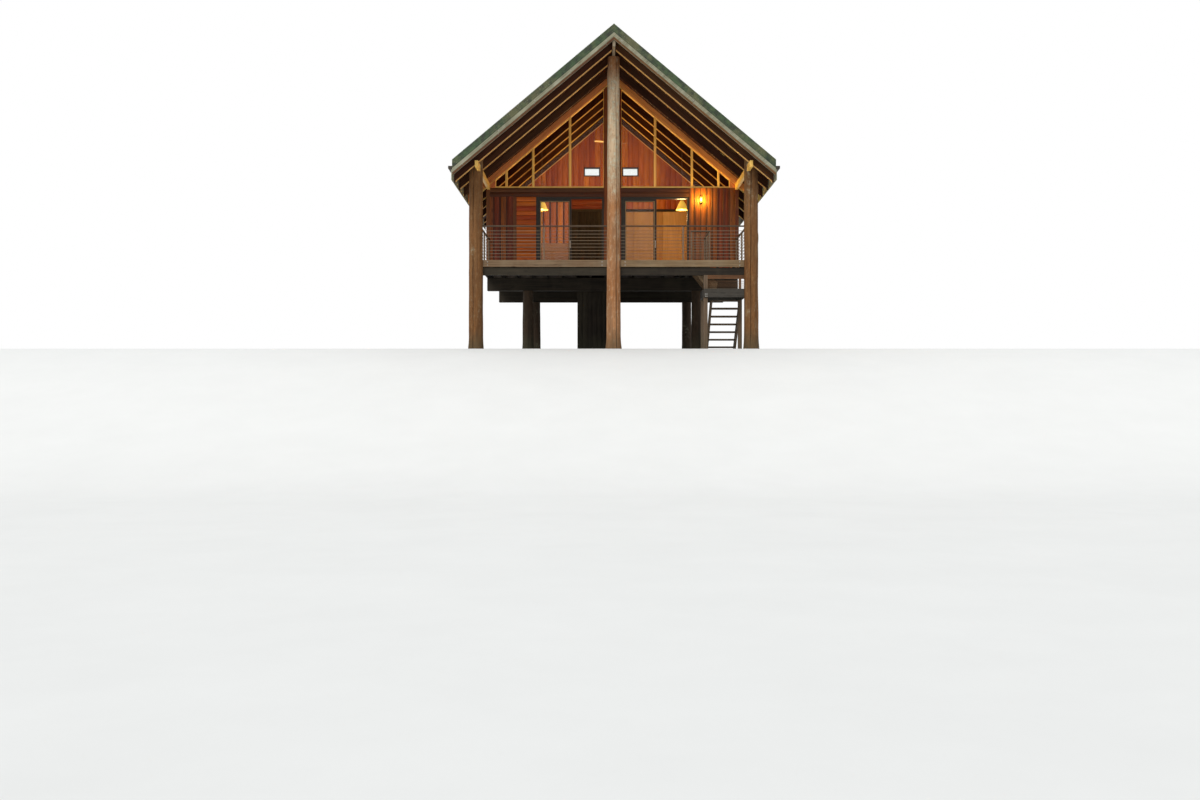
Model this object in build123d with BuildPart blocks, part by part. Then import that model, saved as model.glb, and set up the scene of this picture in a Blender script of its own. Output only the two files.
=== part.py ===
from build123d import *
import os
from math import cos, radians, sin, tan

# A timber tree house carried on logs: a cabin with a steep open gable roof that
# runs forward over a deck, held at the front by three tall logs. A stair with a
# landing climbs through an opening in the deck's right side.
# X runs to the right seen from the front, Y to the rear and Z up from the ground.
# The origin is on the ground, under the middle of the roof. All sizes are in mm.

# Plan
half_width = 3900.0
deck_depth = 2800.0
cabin_depth = 4560.0
wall_thickness = 120.0
gable_overhang = 1100.0
eave_overhang = 600.0

# Levels and openings of the front wall
floor_level = 2580.0
door_height = 2300.0
door_width = 2110.0
post_width = 540.0
header_depth = 280.0

# Roof
roof_pitch = 40.0
rake_seat = 20.0
rafter_depth = 200.0
rafter_width = 60.0
rafter_spacing = 1140.0
first_rafter = 480.0
ridge_beam_width = 80.0
ridge_beam_drop = 60.0
eave_beam_width = 90.0
eave_beam_depth = 180.0
eave_beam_setback = 250.0
birdsmouth = 100.0
ceiling_thickness = 20.0
roof_thickness = 115.0
rib_spacing = 200.0
rib_height = 25.0
rib_base = 60.0
rib_top = 30.0
barge_thickness = 40.0
barge_depth = 158.0
barge_drop = 108.0
verge_height = 184.0
verge_width = 100.0
verge_rib = 10.0
verge_ribs = 3
verge_rib_start = 30.0
verge_rib_step = 79.0
ridge_cap_reach = 190.0
ridge_cap_thickness = 6.0
ridge_roll = 28.0
eave_board = 25.0
gutter_width = 110.0
gutter_depth = 100.0
gutter_wall = 5.0

# Floor and what carries it
floor_boards = 40.0
joist_depth = 180.0
joist_width = 60.0
joist_spacing = 460.0
joist_notch = 1.0
deck_notch = 5.0
fascia_depth = 200.0
fascia_thickness = 45.0
side_fascia = 25.0
fascia_front = 20.0
front_bearer_depth = 210.0
front_bearer_width = 140.0
bearer_depth = 400.0
bearer_width = 200.0
log_radius = 205.0
log_top_radius = 165.0
log_flare = 1.12
round_sides = 24
log_flare_height = 420.0
corner_log_radius = 205.0
corner_log_taper = 12.0
corner_log_outset = 50.0
under_log_radius = 170.0
under_log_taper = 10.0
under_log_inset = 1270.0
seat_gap = 0.3

# Deck guards
guard_height = 1000.0
guard_post = 45.0
guard_rail_width = 60.0
guard_rail_depth = 40.0
guard_bar = 14.0
guard_bars = 9
guard_bar_pitch = 94.0
guard_inset = 50.0
guard_post_inset = 1900.0

# Stair
riser = 205.0
upper_going = 228.0
lower_risers = 8
lower_going = 250.0
stairwell_inset = 100.0
stairwell_width = 1500.0
stairwell_front = 180.0
stairwell_back = 100.0
stairwell_step = 20.0
landing_depth = 1100.0
landing_width = 1210.0
flight_width = 900.0
tread_thickness = 45.0
tread_nose = 20.0
stringer_width = 45.0
stringer_depth = 250.0
stringer_tail = 83.0
stringer_head = 140.0
stringer_foot_drop = 20.0
landing_board = 60.0
landing_beam = 190.0
landing_post = 115.0
landing_rail = 110.0
landing_end_post = 70.0
landing_end_inset = 200.0

# Sliding doors
jamb = 60.0
sill = 30.0
leaf_thickness = 40.0
leaf_stile = 80.0
leaf_rail = 80.0
leaf_kick = 100.0
leaf_lap = 80.0
leaf_clear = 6.0
glass_thickness = 8.0
front_track = 15.0
rear_track = 70.0
handle_length = 260.0
handle_level = 700.0
handle_width = 24.0
handle_stand = 38.0

# Gable glazing
mullion = 45.0
mullion_depth = 90.0
mullion_insets = (2575.0, 1430.0, 600.0)
glazing_inset = 260.0
gable_sill_rail = 40.0

# Rear windows
rear_window_left = 380.0
rear_window_right = 960.0
rear_window_sill = 6360.0
rear_window_head = 6690.0
rear_window_frame = 45.0

# Service enclosure below the floor
core_left = -1100.0
core_right = 150.0
core_front = 400.0
core_depth = 1800.0

# Lamps and fan
fan_level = 7100.0
fan_motor_radius = 110.0
fan_motor_height = 150.0
fan_rod_radius = 15.0
fan_canopy_radius = 38.0
fan_canopy_height = 60.0
fan_hub_radius = 85.0
fan_hub_foot = 55.0
fan_hub_height = 44.0
fan_hub_rim = 28.0
fan_blades = 4
fan_blade_start = 20.0
fan_blade_seat = 68.0
fan_blade_reach = 620.0
fan_blade_root = 80.0
fan_blade_width = 130.0
fan_blade_tip = 55.0
fan_blade_thickness = 10.0
fan_blade_twist = 12.0
pendant_inset = 1620.0
pendant_back = 1700.0
pendant_level = 4750.0
pendant_height = 320.0
pendant_radius = 200.0
pendant_neck = 32.0
pendant_cap = 28.0
pendant_wall = 6.0
pendant_rod = 7.0
pendant_bell = ((90.0, 156.0), (198.0, 112.0), (262.0, 68.0))
bulb_radius = 55.0
bulb_height = 170.0
bulb_clear = 25.0
wall_lamp_inset = 1150.0
wall_lamp_level = 4780.0
wall_lamp_height = 200.0
wall_lamp_radius = 50.0
wall_lamp_cap = 36.0
wall_lamp_cap_height = 24.0
wall_lamp_stand = 49.0
wall_lamp_plate = 12.0
wall_lamp_plate_width = 76.0

# Lines of the plan
log_y = -(deck_depth + cabin_depth) / 2
wall_y = log_y + deck_depth
wall_back_y = wall_y + wall_thickness
rear_y = wall_y + cabin_depth
rear_wall_y = rear_y - wall_thickness
roof_end = rear_y + gable_overhang
slab_end = roof_end - barge_thickness
roof_half = half_width + eave_overhang
inner_half = half_width - wall_thickness
corner_x = half_width + corner_log_outset
door_edge = post_width / 2 + door_width
under_log_x = half_width - under_log_inset
guard_post_x = half_width - guard_post_inset
mullion_lines = [half_width - inset for inset in mullion_insets]
glazing_end = half_width - glazing_inset
fan_y = (wall_y + rear_y) / 2
pendant_x = half_width - pendant_inset
pendant_y = wall_y + pendant_back
wall_lamp_x = half_width - wall_lamp_inset

# Lines of the section
slope = tan(radians(roof_pitch))
plumb = 1 / cos(radians(roof_pitch))
door_head = floor_level + door_height
gable_sill = door_head + header_depth
rafter_apex = gable_sill + rake_seat + slope * half_width
ceiling_apex = rafter_apex + rafter_depth * plumb
roof_base_apex = ceiling_apex + ceiling_thickness * plumb
roof_top_apex = roof_base_apex + roof_thickness * plumb
barge_base_apex = ceiling_apex - barge_drop * plumb
verge_base_apex = barge_base_apex + barge_depth * plumb
verge_top_apex = verge_base_apex + verge_height * plumb
ridge_base = rafter_apex - ridge_beam_drop
ridge_top = ceiling_apex - slope * ridge_beam_width / 2
eave_beam_top = gable_sill + rake_seat + birdsmouth
eave_beam_base = eave_beam_top - eave_beam_depth
joist_top = floor_level - floor_boards
joist_base = joist_top - joist_depth
bearer_base = joist_base - bearer_depth

# Stair and stairwell
stairwell_right = half_width - stairwell_inset
stairwell_left = stairwell_right - stairwell_width
landing_left = stairwell_right - landing_width
landing_end_x = stairwell_right - landing_end_inset
landing_level = floor_level - 4 * riser
landing_front = log_y - fascia_front
landing_back = log_y + landing_depth
lower_riser = landing_level / lower_risers
first_upper_riser = stairwell_left + 3 * upper_going
lower_flight_left = stairwell_right - flight_width
lower_flight_foot = landing_back + (lower_risers - 1) * lower_going
well_front = log_y + stairwell_front
well_back = wall_y - stairwell_back
well_step_left = lower_flight_left - stairwell_step
guard_y = log_y + guard_inset
guard_x = half_width - guard_inset
well_guard_x = well_step_left - guard_post / 2
well_guard_y = landing_back + guard_post / 2

# Door leaf
clear_width = door_width - 2 * jamb
leaf_width = (clear_width + leaf_lap) / 2
leaf_base = floor_level + sill + seat_gap
leaf_top = door_head - jamb - leaf_clear


def block(x_range, y_range, z_range, mode=Mode.ADD):
    """A square-cut piece between two values on each axis."""
    low, high = zip(x_range, y_range, z_range)
    with Locations(low):
        Box(*(b - a for a, b in zip(low, high)), align=(Align.MIN,) * 3, mode=mode)


def prism(points, y_range, mode=Mode.ADD):
    """A piece with an outline of (x, z) points, running from front to rear."""
    with BuildSketch(Plane.XZ.offset(-y_range[0])) as outline:
        with BuildLine():
            Polyline(*points, close=True)
        make_face()
    extrude(outline.sketch, amount=y_range[0] - y_range[1], mode=mode)


def slope_band(x_range, apex_range, y_range, mode=Mode.ADD):
    """A piece along the right roof slope with plumb ends, from its levels at the ridge."""
    near, far = x_range
    low, high = apex_range
    outline = [
        (near, low - slope * near),
        (far, low - slope * far),
        (far, high - slope * far),
        (near, high - slope * near),
    ]
    prism(outline, y_range, mode)


def turned(place, rings, mode=Mode.ADD):
    """A many-sided round piece that stands at a place, through rings of (level, radius)."""
    x, y, base = place
    turns = [radians(360 / round_sides * i) for i in range(round_sides)]
    corners = []
    for level, radius in rings:
        corners.append([(x + radius * cos(turn), y + radius * sin(turn), base + level) for turn in turns])
    faces = [Face(Wire.make_polygon(corners[end])) for end in (0, -1)]
    for low, high in zip(corners, corners[1:]):
        for i in range(round_sides):
            faces.append(Face(Wire.make_polygon([low[i - 1], low[i], high[i], high[i - 1]])))
    add(Solid(Shell(faces)), mode=mode)


def log(x, y, height, base_radius, top_radius, extra=0.0, mode=Mode.ADD):
    """A standing log, tapered, with a flared butt on the ground."""
    rings = [
        (0, base_radius * log_flare + extra),
        (log_flare_height, base_radius + extra),
        (height, top_radius + extra),
    ]
    turned((x, y, 0), rings, mode)


def front_logs(extra, mode):
    """The three logs of the front line, with room around them where they are cut out."""
    log(0, log_y, ridge_base, log_radius, log_top_radius, extra, mode)
    for side in (-1, 1):
        top = corner_log_radius - corner_log_taper
        log(side * corner_x, log_y, ceiling_apex - slope * inner_half, corner_log_radius, top, extra, mode)


def finish(builder, name):
    """Label a finished piece and write it."""
    builder.part.label = name
    export_step(builder.part, "parts/" + name + ".step")


def mirrored(builder):
    """The same piece on the other side of the centre line."""
    with BuildPart() as other:
        mirror(builder.part, about=Plane.YZ)
    return other


os.makedirs("parts", exist_ok=True)

# Ridge beam and eave beams
with BuildPart() as ridge_beam:
    half = ridge_beam_width / 2
    block((-half, half), (-slab_end, slab_end), (ridge_base, ridge_top))
finish(ridge_beam, "ridge_beam")

with BuildPart() as eave_beams:
    eave_beam_end = slab_end - eave_beam_setback
    for side in (-1, 1):
        edges = sorted((side * (half_width - eave_beam_width), side * half_width))
        block(edges, (-eave_beam_end, eave_beam_end), (eave_beam_base, eave_beam_top))
finish(eave_beams, "eave_beams")

# Logs of the front line
with BuildPart() as front_log:
    log(0, log_y, ridge_base, log_radius, log_top_radius)
finish(front_log, "front_log")

with BuildPart() as corner_log_right:
    head = ceiling_apex - slope * (corner_x - corner_log_radius)
    log(corner_x, log_y, head, corner_log_radius, corner_log_radius - corner_log_taper)
    slope_band((0, roof_half), (ceiling_apex, ceiling_apex + head), (-roof_end, 0), Mode.SUBTRACT)
    add(eave_beams.part, mode=Mode.SUBTRACT)
finish(corner_log_right, "corner_log_right")
corner_log_left = mirrored(corner_log_right)
finish(corner_log_left, "corner_log_left")

# Rafters between the walls and over the deck, notched over the eave beams
rafter_lines = []
rafter_y = -roof_end + first_rafter
while rafter_y < wall_y - rafter_width:
    rafter_lines.append(rafter_y)
    rafter_y += rafter_spacing
bays = round((rear_wall_y - wall_y) / rafter_spacing)
bay = (rear_wall_y - wall_y) / bays
rafter_lines += [wall_y + wall_thickness / 2 + bay * i for i in range(1, bays)]
rafter_lines.append(roof_end - first_rafter)

with BuildPart() as rafters:
    for line in rafter_lines:
        width = (line - rafter_width / 2, line + rafter_width / 2)
        slope_band((ridge_beam_width / 2, roof_half), (rafter_apex, ceiling_apex), width)
    mirror(about=Plane.YZ)
    add(eave_beams.part, mode=Mode.SUBTRACT)
finish(rafters, "rafters")

# Ceiling boards on the rafters, and the roof over them with its ribbed sheet
with BuildPart() as ceiling_right:
    slope_band((0, roof_half), (ceiling_apex, roof_base_apex), (-slab_end, slab_end))
finish(ceiling_right, "ceiling_right")
ceiling_left = mirrored(ceiling_right)
finish(ceiling_left, "ceiling_left")

rib_run = 2 * (slab_end - verge_width - rib_base)
rib_count = int(rib_run // rib_spacing)
rib_lines = [(i - rib_count / 2) * rib_spacing for i in range(rib_count + 1)]
rib_points = []
for line in rib_lines:
    rib_points += [
        (line - rib_base / 2, roof_thickness),
        (line - rib_top / 2, roof_thickness + rib_height),
        (line + rib_top / 2, roof_thickness + rib_height),
        (line + rib_base / 2, roof_thickness),
    ]
down_slope = Plane(
    origin=(0, 0, roof_base_apex),
    x_dir=(0, 1, 0),
    z_dir=(cos(radians(roof_pitch)), 0, -sin(radians(roof_pitch))),
)
roof_over_run = (roof_thickness + rib_height) * slope
with BuildPart() as roof_right:
    with BuildSketch(down_slope.offset(-roof_over_run)):
        with BuildLine():
            Polyline(
                (-slab_end, 0),
                (-slab_end, roof_thickness),
                *rib_points,
                (slab_end, roof_thickness),
                (slab_end, 0),
                close=True,
            )
        make_face()
    extrude(amount=roof_half * plumb + 2 * roof_over_run)
    split(bisect_by=Plane.YZ, keep=Keep.TOP)
    split(bisect_by=Plane.YZ.offset(roof_half), keep=Keep.BOTTOM)
finish(roof_right, "roof_right")
roof_left = mirrored(roof_right)
finish(roof_left, "roof_left")

with BuildPart() as ridge_cap:
    cap_base = roof_top_apex + rib_height * plumb
    cap_apexes = (cap_base, cap_base + ridge_cap_thickness * plumb)
    cap_y = (verge_width - slab_end, slab_end - verge_width)
    slope_band((0, ridge_cap_reach), cap_apexes, cap_y)
    mirror(about=Plane.YZ)
    with BuildSketch(Plane.XZ.offset(cap_y[1])):
        with Locations((0, cap_base + ridge_roll / 2)):
            Circle(ridge_roll)
    extrude(amount=cap_y[0] - cap_y[1])
    under_cap = [(0, cap_base)]
    for side in (1, -1):
        edge = 2 * side * ridge_roll
        levels = (cap_base - 2 * slope * ridge_roll, cap_base - 4 * ridge_roll)
        under_cap += [(edge, level) for level in levels[::side]]
    prism(under_cap, cap_y, Mode.SUBTRACT)
finish(ridge_cap, "ridge_cap")

# Barge boards and the metal verge caps above them, front and rear
with BuildPart() as barge_boards:
    board = (roof_end - barge_thickness, roof_end)
    slope_band((0, roof_half), (barge_base_apex, verge_base_apex), board)
    mirror(about=Plane.YZ)
    mirror(about=Plane.XZ)
finish(barge_boards, "barge_boards")

with BuildPart() as verge_caps:
    slope_band((0, roof_half), (verge_base_apex, verge_top_apex), (slab_end, roof_end))
    slope_band((0, roof_half), (roof_top_apex, verge_top_apex), (slab_end - verge_width, slab_end))
    for i in range(verge_ribs):
        level = verge_base_apex + verge_rib_start + verge_rib_step * i
        rib_y = (roof_end, roof_end + verge_rib)
        slope_band((0, roof_half), (level, level + 2 * verge_rib * plumb), rib_y)
    mirror(about=Plane.YZ)
    mirror(about=Plane.XZ)
finish(verge_caps, "verge_caps")

# Boards over the rafter ends and gutters along the eaves
eave_x = (roof_half, roof_half + eave_board)
eave_board_top = roof_base_apex - slope * roof_half
with BuildPart() as eave_boards:
    block(eave_x, (-roof_end, roof_end), (rafter_apex - slope * roof_half, eave_board_top))
    mirror(about=Plane.YZ)
finish(eave_boards, "eave_boards")


def gutter_trough(wall, reach, mode=Mode.ADD):
    """The right gutter's section, set in by a wall and run to a reach front and rear."""
    near = roof_half + wall
    far = roof_half + gutter_width - wall
    base = eave_board_top + wall
    top = eave_board_top + gutter_depth
    chamfer_run = gutter_width / 4
    outline = [
        (near, top),
        (near, base),
        (far - chamfer_run, base),
        (far, base + chamfer_run),
        (far, top),
    ]
    prism(outline, (-reach, reach), mode)


with BuildPart() as gutters:
    gutter_trough(0, roof_end)
    gutter_trough(gutter_wall, roof_end - gutter_wall, Mode.SUBTRACT)
    mirror(about=Plane.YZ)
finish(gutters, "gutters")

# Floor: boards of the deck and cabin, joists, bearers and the logs below
with BuildPart() as stairwell:
    well_z = (joist_base - bearer_depth, floor_level + joist_depth)
    block((stairwell_left, stairwell_right), (well_front, landing_back), well_z)
    block((well_step_left, stairwell_right), (landing_back, well_back), well_z)

with BuildPart() as deck_floor:
    deck_y = (log_y + fascia_thickness - fascia_front, wall_y)
    block((-half_width, half_width), deck_y, (joist_top, floor_level))
    add(stairwell.part, mode=Mode.SUBTRACT)
    front_logs(deck_notch, Mode.SUBTRACT)
finish(deck_floor, "deck_floor")

with BuildPart() as cabin_floor:
    block((-half_width, half_width), (wall_y, rear_y), (joist_top, floor_level))
finish(cabin_floor, "cabin_floor")

with BuildPart() as floor_joists:
    joist_z = (joist_base, joist_top)
    joist_y = (log_y + fascia_thickness - fascia_front, rear_y)
    joist_count = int((half_width - joist_width) // joist_spacing + 1)
    joist_lines = [(i + 0.5) * joist_spacing for i in range(joist_count)]
    joist_lines = [line for line in joist_lines if line < half_width - 2 * joist_width]
    joist_lines.append(half_width - joist_width / 2)
    for line in joist_lines:
        for side in (-1, 1):
            middle = side * line
            block((middle - joist_width / 2, middle + joist_width / 2), joist_y, joist_z)
    add(stairwell.part, mode=Mode.SUBTRACT)
    block((stairwell_left - joist_width, stairwell_left), (joist_y[0], rear_y), joist_z)
    block((well_step_left - joist_width, well_step_left), (landing_back, rear_y), joist_z)
    header_x = (stairwell_left, well_step_left - joist_width)
    block(header_x, (landing_back, landing_back + joist_width + seat_gap), joist_z, Mode.SUBTRACT)
    header_x = (stairwell_left + seat_gap, well_step_left - joist_width - seat_gap)
    block(header_x, (landing_back, landing_back + joist_width), joist_z)
    front_logs(joist_notch, Mode.SUBTRACT)
finish(floor_joists, "floor_joists")

fascia_z = (floor_level - fascia_depth, floor_level)
with BuildPart() as front_fascias:
    front = (log_y - fascia_front, log_y + fascia_thickness - fascia_front)
    block((-half_width, half_width), front, fascia_z)
    front_logs(seat_gap, Mode.SUBTRACT)
finish(front_fascias, "front_fascias")

with BuildPart() as side_fascias:
    for side in (-1, 1):
        edges = sorted((side * half_width, side * (half_width + side_fascia)))
        block(edges, (log_y, rear_y), fascia_z)
    front_logs(seat_gap, Mode.SUBTRACT)
finish(side_fascias, "side_fascias")

with BuildPart() as rear_fascia:
    edge = half_width + side_fascia
    block((-edge, edge), (rear_y, rear_y + side_fascia), fascia_z)
finish(rear_fascia, "rear_fascia")

mid_bearer_y = wall_y + bearer_width / 2
rear_bearer_y = rear_y - bearer_width
with BuildPart() as bearers:
    front_y = log_y + fascia_thickness - fascia_front
    front_bearer_y = (front_y, front_y + front_bearer_width)
    block((-half_width, half_width), front_bearer_y, (joist_base - front_bearer_depth, joist_base))
    front_logs(seat_gap, Mode.SUBTRACT)
    for middle in (mid_bearer_y, rear_bearer_y):
        span = (middle - bearer_width / 2, middle + bearer_width / 2)
        block((-half_width, half_width), span, (bearer_base, joist_base))
finish(bearers, "bearers")

with BuildPart() as under_logs:
    for middle in (mid_bearer_y, rear_bearer_y):
        for x in (-under_log_x, 0, under_log_x):
            log(x, middle, bearer_base, under_log_radius, under_log_radius - under_log_taper)
finish(under_logs, "under_logs")

with BuildPart() as service_core:
    core_y = wall_y + core_front
    block((core_left, core_right), (core_y, core_y + core_depth), (0, joist_base))
finish(service_core, "service_core")

# Walls
with BuildPart() as front_wall_right:
    block((door_edge, half_width), (wall_y, wall_back_y), (floor_level, door_head))
finish(front_wall_right, "front_wall_right")
front_wall_left = mirrored(front_wall_right)
finish(front_wall_left, "front_wall_left")

with BuildPart() as front_header:
    block((post_width / 2, half_width), (wall_y, wall_back_y), (door_head, gable_sill))
    mirror(about=Plane.YZ)
    add(eave_beams.part, mode=Mode.SUBTRACT)
finish(front_header, "front_header")

with BuildPart() as centre_post:
    post_half = post_width / 2
    bearing = (rafter_apex - ridge_base) / slope
    outline = [
        (-post_half, floor_level),
        (post_half, floor_level),
        (post_half, rafter_apex - slope * post_half),
        (bearing, ridge_base),
        (-bearing, ridge_base),
        (-post_half, rafter_apex - slope * post_half),
    ]
    prism(outline, (wall_y, wall_back_y))
finish(centre_post, "centre_post")

glass_y = (wall_y + wall_back_y - glass_thickness) / 2
mullion_y = (wall_y + wall_back_y - mullion_depth) / 2
glass_sill = gable_sill + gable_sill_rail
with BuildPart() as gable_frame:
    slope_band((ridge_beam_width / 2, roof_half), (rafter_apex, ceiling_apex), (wall_y, wall_back_y))
    for line in mullion_lines:
        edges = (line - mullion / 2, line + mullion / 2)
        outline = [(x, gable_sill) for x in edges] + [(x, rafter_apex - slope * x) for x in reversed(edges)]
        prism(outline, (mullion_y, mullion_y + mullion_depth))
    edges = (glazing_end, half_width)
    tip = [(x, gable_sill) for x in edges] + [(x, rafter_apex - slope * x) for x in reversed(edges)]
    prism(tip, (wall_y, wall_back_y))
    block((post_width / 2, half_width), (mullion_y, mullion_y + mullion_depth), (gable_sill, glass_sill))
    mirror(about=Plane.YZ)
    add(eave_beams.part, mode=Mode.SUBTRACT)
finish(gable_frame, "gable_frame")

with BuildPart() as gable_glass:
    lefts = [post_width / 2] + [line + mullion / 2 for line in mullion_lines]
    rights = [line - mullion / 2 for line in mullion_lines] + [glazing_end]
    for near, far in zip(lefts, rights):
        outline = [(near, glass_sill), (far, glass_sill)]
        outline += [(far, rafter_apex - slope * far), (near, rafter_apex - slope * near)]
        prism(outline, (glass_y, glass_y + glass_thickness))
    mirror(about=Plane.YZ)
finish(gable_glass, "gable_glass")

# Each side wall rises behind its eave beam to the ceiling, cut round the rafters
with BuildPart() as right_wall:
    beam_inner = half_width - eave_beam_width
    outline = [
        (inner_half, floor_level),
        (half_width, floor_level),
        (half_width, eave_beam_base),
        (beam_inner, eave_beam_base),
        (beam_inner, ceiling_apex - slope * beam_inner),
        (inner_half, ceiling_apex - slope * inner_half),
    ]
    prism(outline, (wall_back_y, rear_wall_y))
    add(rafters.part, mode=Mode.SUBTRACT)
finish(right_wall, "right_wall")
left_wall = mirrored(right_wall)
finish(left_wall, "left_wall")

with BuildPart() as rear_wall:
    outline = [
        (-half_width, floor_level),
        (half_width, floor_level),
        (half_width, ceiling_apex - slope * half_width),
        (0, ceiling_apex),
        (-half_width, ceiling_apex - slope * half_width),
    ]
    prism(outline, (rear_wall_y, rear_y))
    window_z = (rear_window_sill, rear_window_head)
    for side in (-1, 1):
        edges = sorted((side * rear_window_left, side * rear_window_right))
        block(edges, (rear_wall_y, rear_y), window_z, Mode.SUBTRACT)
    half = ridge_beam_width / 2
    block((-half, half), (rear_wall_y, rear_y), (ridge_base, ceiling_apex), Mode.SUBTRACT)
    add(eave_beams.part, mode=Mode.SUBTRACT)
finish(rear_wall, "rear_wall")

rear_frame_y = (rear_wall_y, rear_y)
with BuildPart() as rear_window_frames:
    block((rear_window_left, rear_window_right), rear_frame_y, window_z)
    inner_x = (rear_window_left + rear_window_frame, rear_window_right - rear_window_frame)
    inner_z = (rear_window_sill + rear_window_frame, rear_window_head - rear_window_frame)
    block(inner_x, rear_frame_y, inner_z, Mode.SUBTRACT)
    mirror(about=Plane.YZ)
finish(rear_window_frames, "rear_window_frames")

with BuildPart() as rear_window_glass:
    middle = (rear_wall_y + rear_y) / 2
    block(inner_x, (middle - glass_thickness / 2, middle + glass_thickness / 2), inner_z)
    mirror(about=Plane.YZ)
finish(rear_window_glass, "rear_window_glass")

# Sliding doors: each unit has a fixed pane at its left half on the rear track,
# and a leaf that parks in front of it and closes to the right
unit_lefts = {"left": -door_edge, "right": post_width / 2}


def sash(x_range, y_range, z_range, kick):
    """A glazed leaf's stiles and rails, with a deeper rail at the foot."""
    block(x_range, y_range, z_range)
    opening_x = (x_range[0] + leaf_stile, x_range[1] - leaf_stile)
    opening_z = (z_range[0] + kick, z_range[1] - leaf_rail)
    block(opening_x, y_range, opening_z, Mode.SUBTRACT)


def pane(x_range, y_range, z_range, kick):
    """The glass in the opening of such a leaf."""
    middle = (y_range[0] + y_range[1]) / 2
    glass_x = (x_range[0] + leaf_stile, x_range[1] - leaf_stile)
    glass_z = (z_range[0] + kick, z_range[1] - leaf_rail)
    block(glass_x, (middle - glass_thickness / 2, middle + glass_thickness / 2), glass_z)


fixed_z = (floor_level + sill, door_head - jamb)
fixed_y = (wall_y + rear_track, wall_y + rear_track + leaf_thickness)
with BuildPart() as fixed_glass:
    for left in unit_lefts.values():
        pane((left + jamb, left + jamb + leaf_width), fixed_y, fixed_z, leaf_kick)
finish(fixed_glass, "fixed_glass")

with BuildPart() as door_frames:
    for left in unit_lefts.values():
        block((left, left + door_width), (wall_y, wall_back_y), (floor_level, door_head))
        inner = (left + jamb, left + door_width - jamb)
        block(inner, (wall_y, wall_back_y), fixed_z, Mode.SUBTRACT)
        fixed_x = (left + jamb, left + jamb + leaf_width)
        block((fixed_x[0], fixed_x[0] + leaf_stile), fixed_y, fixed_z)
        block((fixed_x[1] - leaf_stile, fixed_x[1]), fixed_y, fixed_z)
        block(fixed_x, fixed_y, (fixed_z[0], fixed_z[0] + leaf_kick))
        block(fixed_x, fixed_y, (fixed_z[1] - leaf_rail, fixed_z[1]))
finish(door_frames, "door_frames")

leaf_y = (wall_y + front_track, wall_y + front_track + leaf_thickness)
for name, left in unit_lefts.items():
    leaf_x = (left + jamb + leaf_clear, left + jamb + leaf_clear + leaf_width)
    with BuildPart() as door_leaf:
        sash(leaf_x, leaf_y, (leaf_base, leaf_top), leaf_kick)
    finish(door_leaf, name + "_door_leaf")
    with BuildPart() as door_glass:
        pane(leaf_x, leaf_y, (leaf_base, leaf_top), leaf_kick)
    finish(door_glass, name + "_door_glass")
    with BuildPart() as door_handle:
        grip_middle = leaf_x[1] - leaf_stile / 2
        grip_x = (grip_middle - handle_width / 2, grip_middle + handle_width / 2)
        low = floor_level + handle_level
        block(grip_x, (leaf_y[0] - handle_stand, leaf_y[0]), (low, low + handle_length))
        gap_y = (leaf_y[0] - handle_stand + handle_width / 2, leaf_y[0])
        block(grip_x, gap_y, (low + handle_width, low + handle_length - handle_width), Mode.SUBTRACT)
    finish(door_handle, name + "_door_handle")


def guard(start, end, posts):
    """A guard on the deck between two points of the plan, with posts at lengths along it."""
    run = Vector(*end) - Vector(*start)
    line = Plane(origin=(*start, floor_level), x_dir=(run.X, run.Y, 0), z_dir=(0, 0, 1))
    with Locations(line):
        with Locations((0, 0, guard_height)):
            Box(run.length, guard_rail_width, guard_rail_depth, align=(Align.MIN, Align.CENTER, Align.MAX))
        with Locations([(0, 0, guard_bar_pitch * (i + 1)) for i in range(guard_bars)]):
            Box(run.length, guard_bar, guard_bar, align=(Align.MIN, Align.CENTER, Align.CENTER))
        if posts:
            with Locations([(along, 0, 0) for along in posts]):
                Box(guard_post, guard_post, guard_height, align=(Align.CENTER, Align.CENTER, Align.MIN))


with BuildPart() as front_guard_right:
    guard((0, guard_y), (corner_x, guard_y), [guard_post_x])
    front_logs(seat_gap, Mode.SUBTRACT)
finish(front_guard_right, "front_guard_right")
front_guard_left = mirrored(front_guard_right)
finish(front_guard_left, "front_guard_left")

with BuildPart() as side_guards:
    side_run = wall_y - log_y
    side_posts = [side_run / 2, side_run - guard_post / 2]
    for side in (-1, 1):
        guard((side * guard_x, log_y), (side * guard_x, wall_y), side_posts)
    front_logs(seat_gap, Mode.SUBTRACT)
    front_guard_y = (log_y - guard_rail_width, guard_y + guard_rail_width)
    block((-corner_x, corner_x), front_guard_y, (floor_level, gable_sill), Mode.SUBTRACT)
finish(side_guards, "side_guards")

with BuildPart() as stair_guard:
    across = well_guard_x - stairwell_left
    corner = well_guard_x + guard_rail_width / 2
    guard((stairwell_left, well_guard_y), (corner, well_guard_y), [guard_post / 2, across])
    start = well_guard_y + guard_rail_width / 2 + seat_gap
    along = wall_y - start
    guard((well_guard_x, start), (well_guard_x, wall_y), [along / 2, along - guard_post / 2])
finish(stair_guard, "stair_guard")


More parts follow.
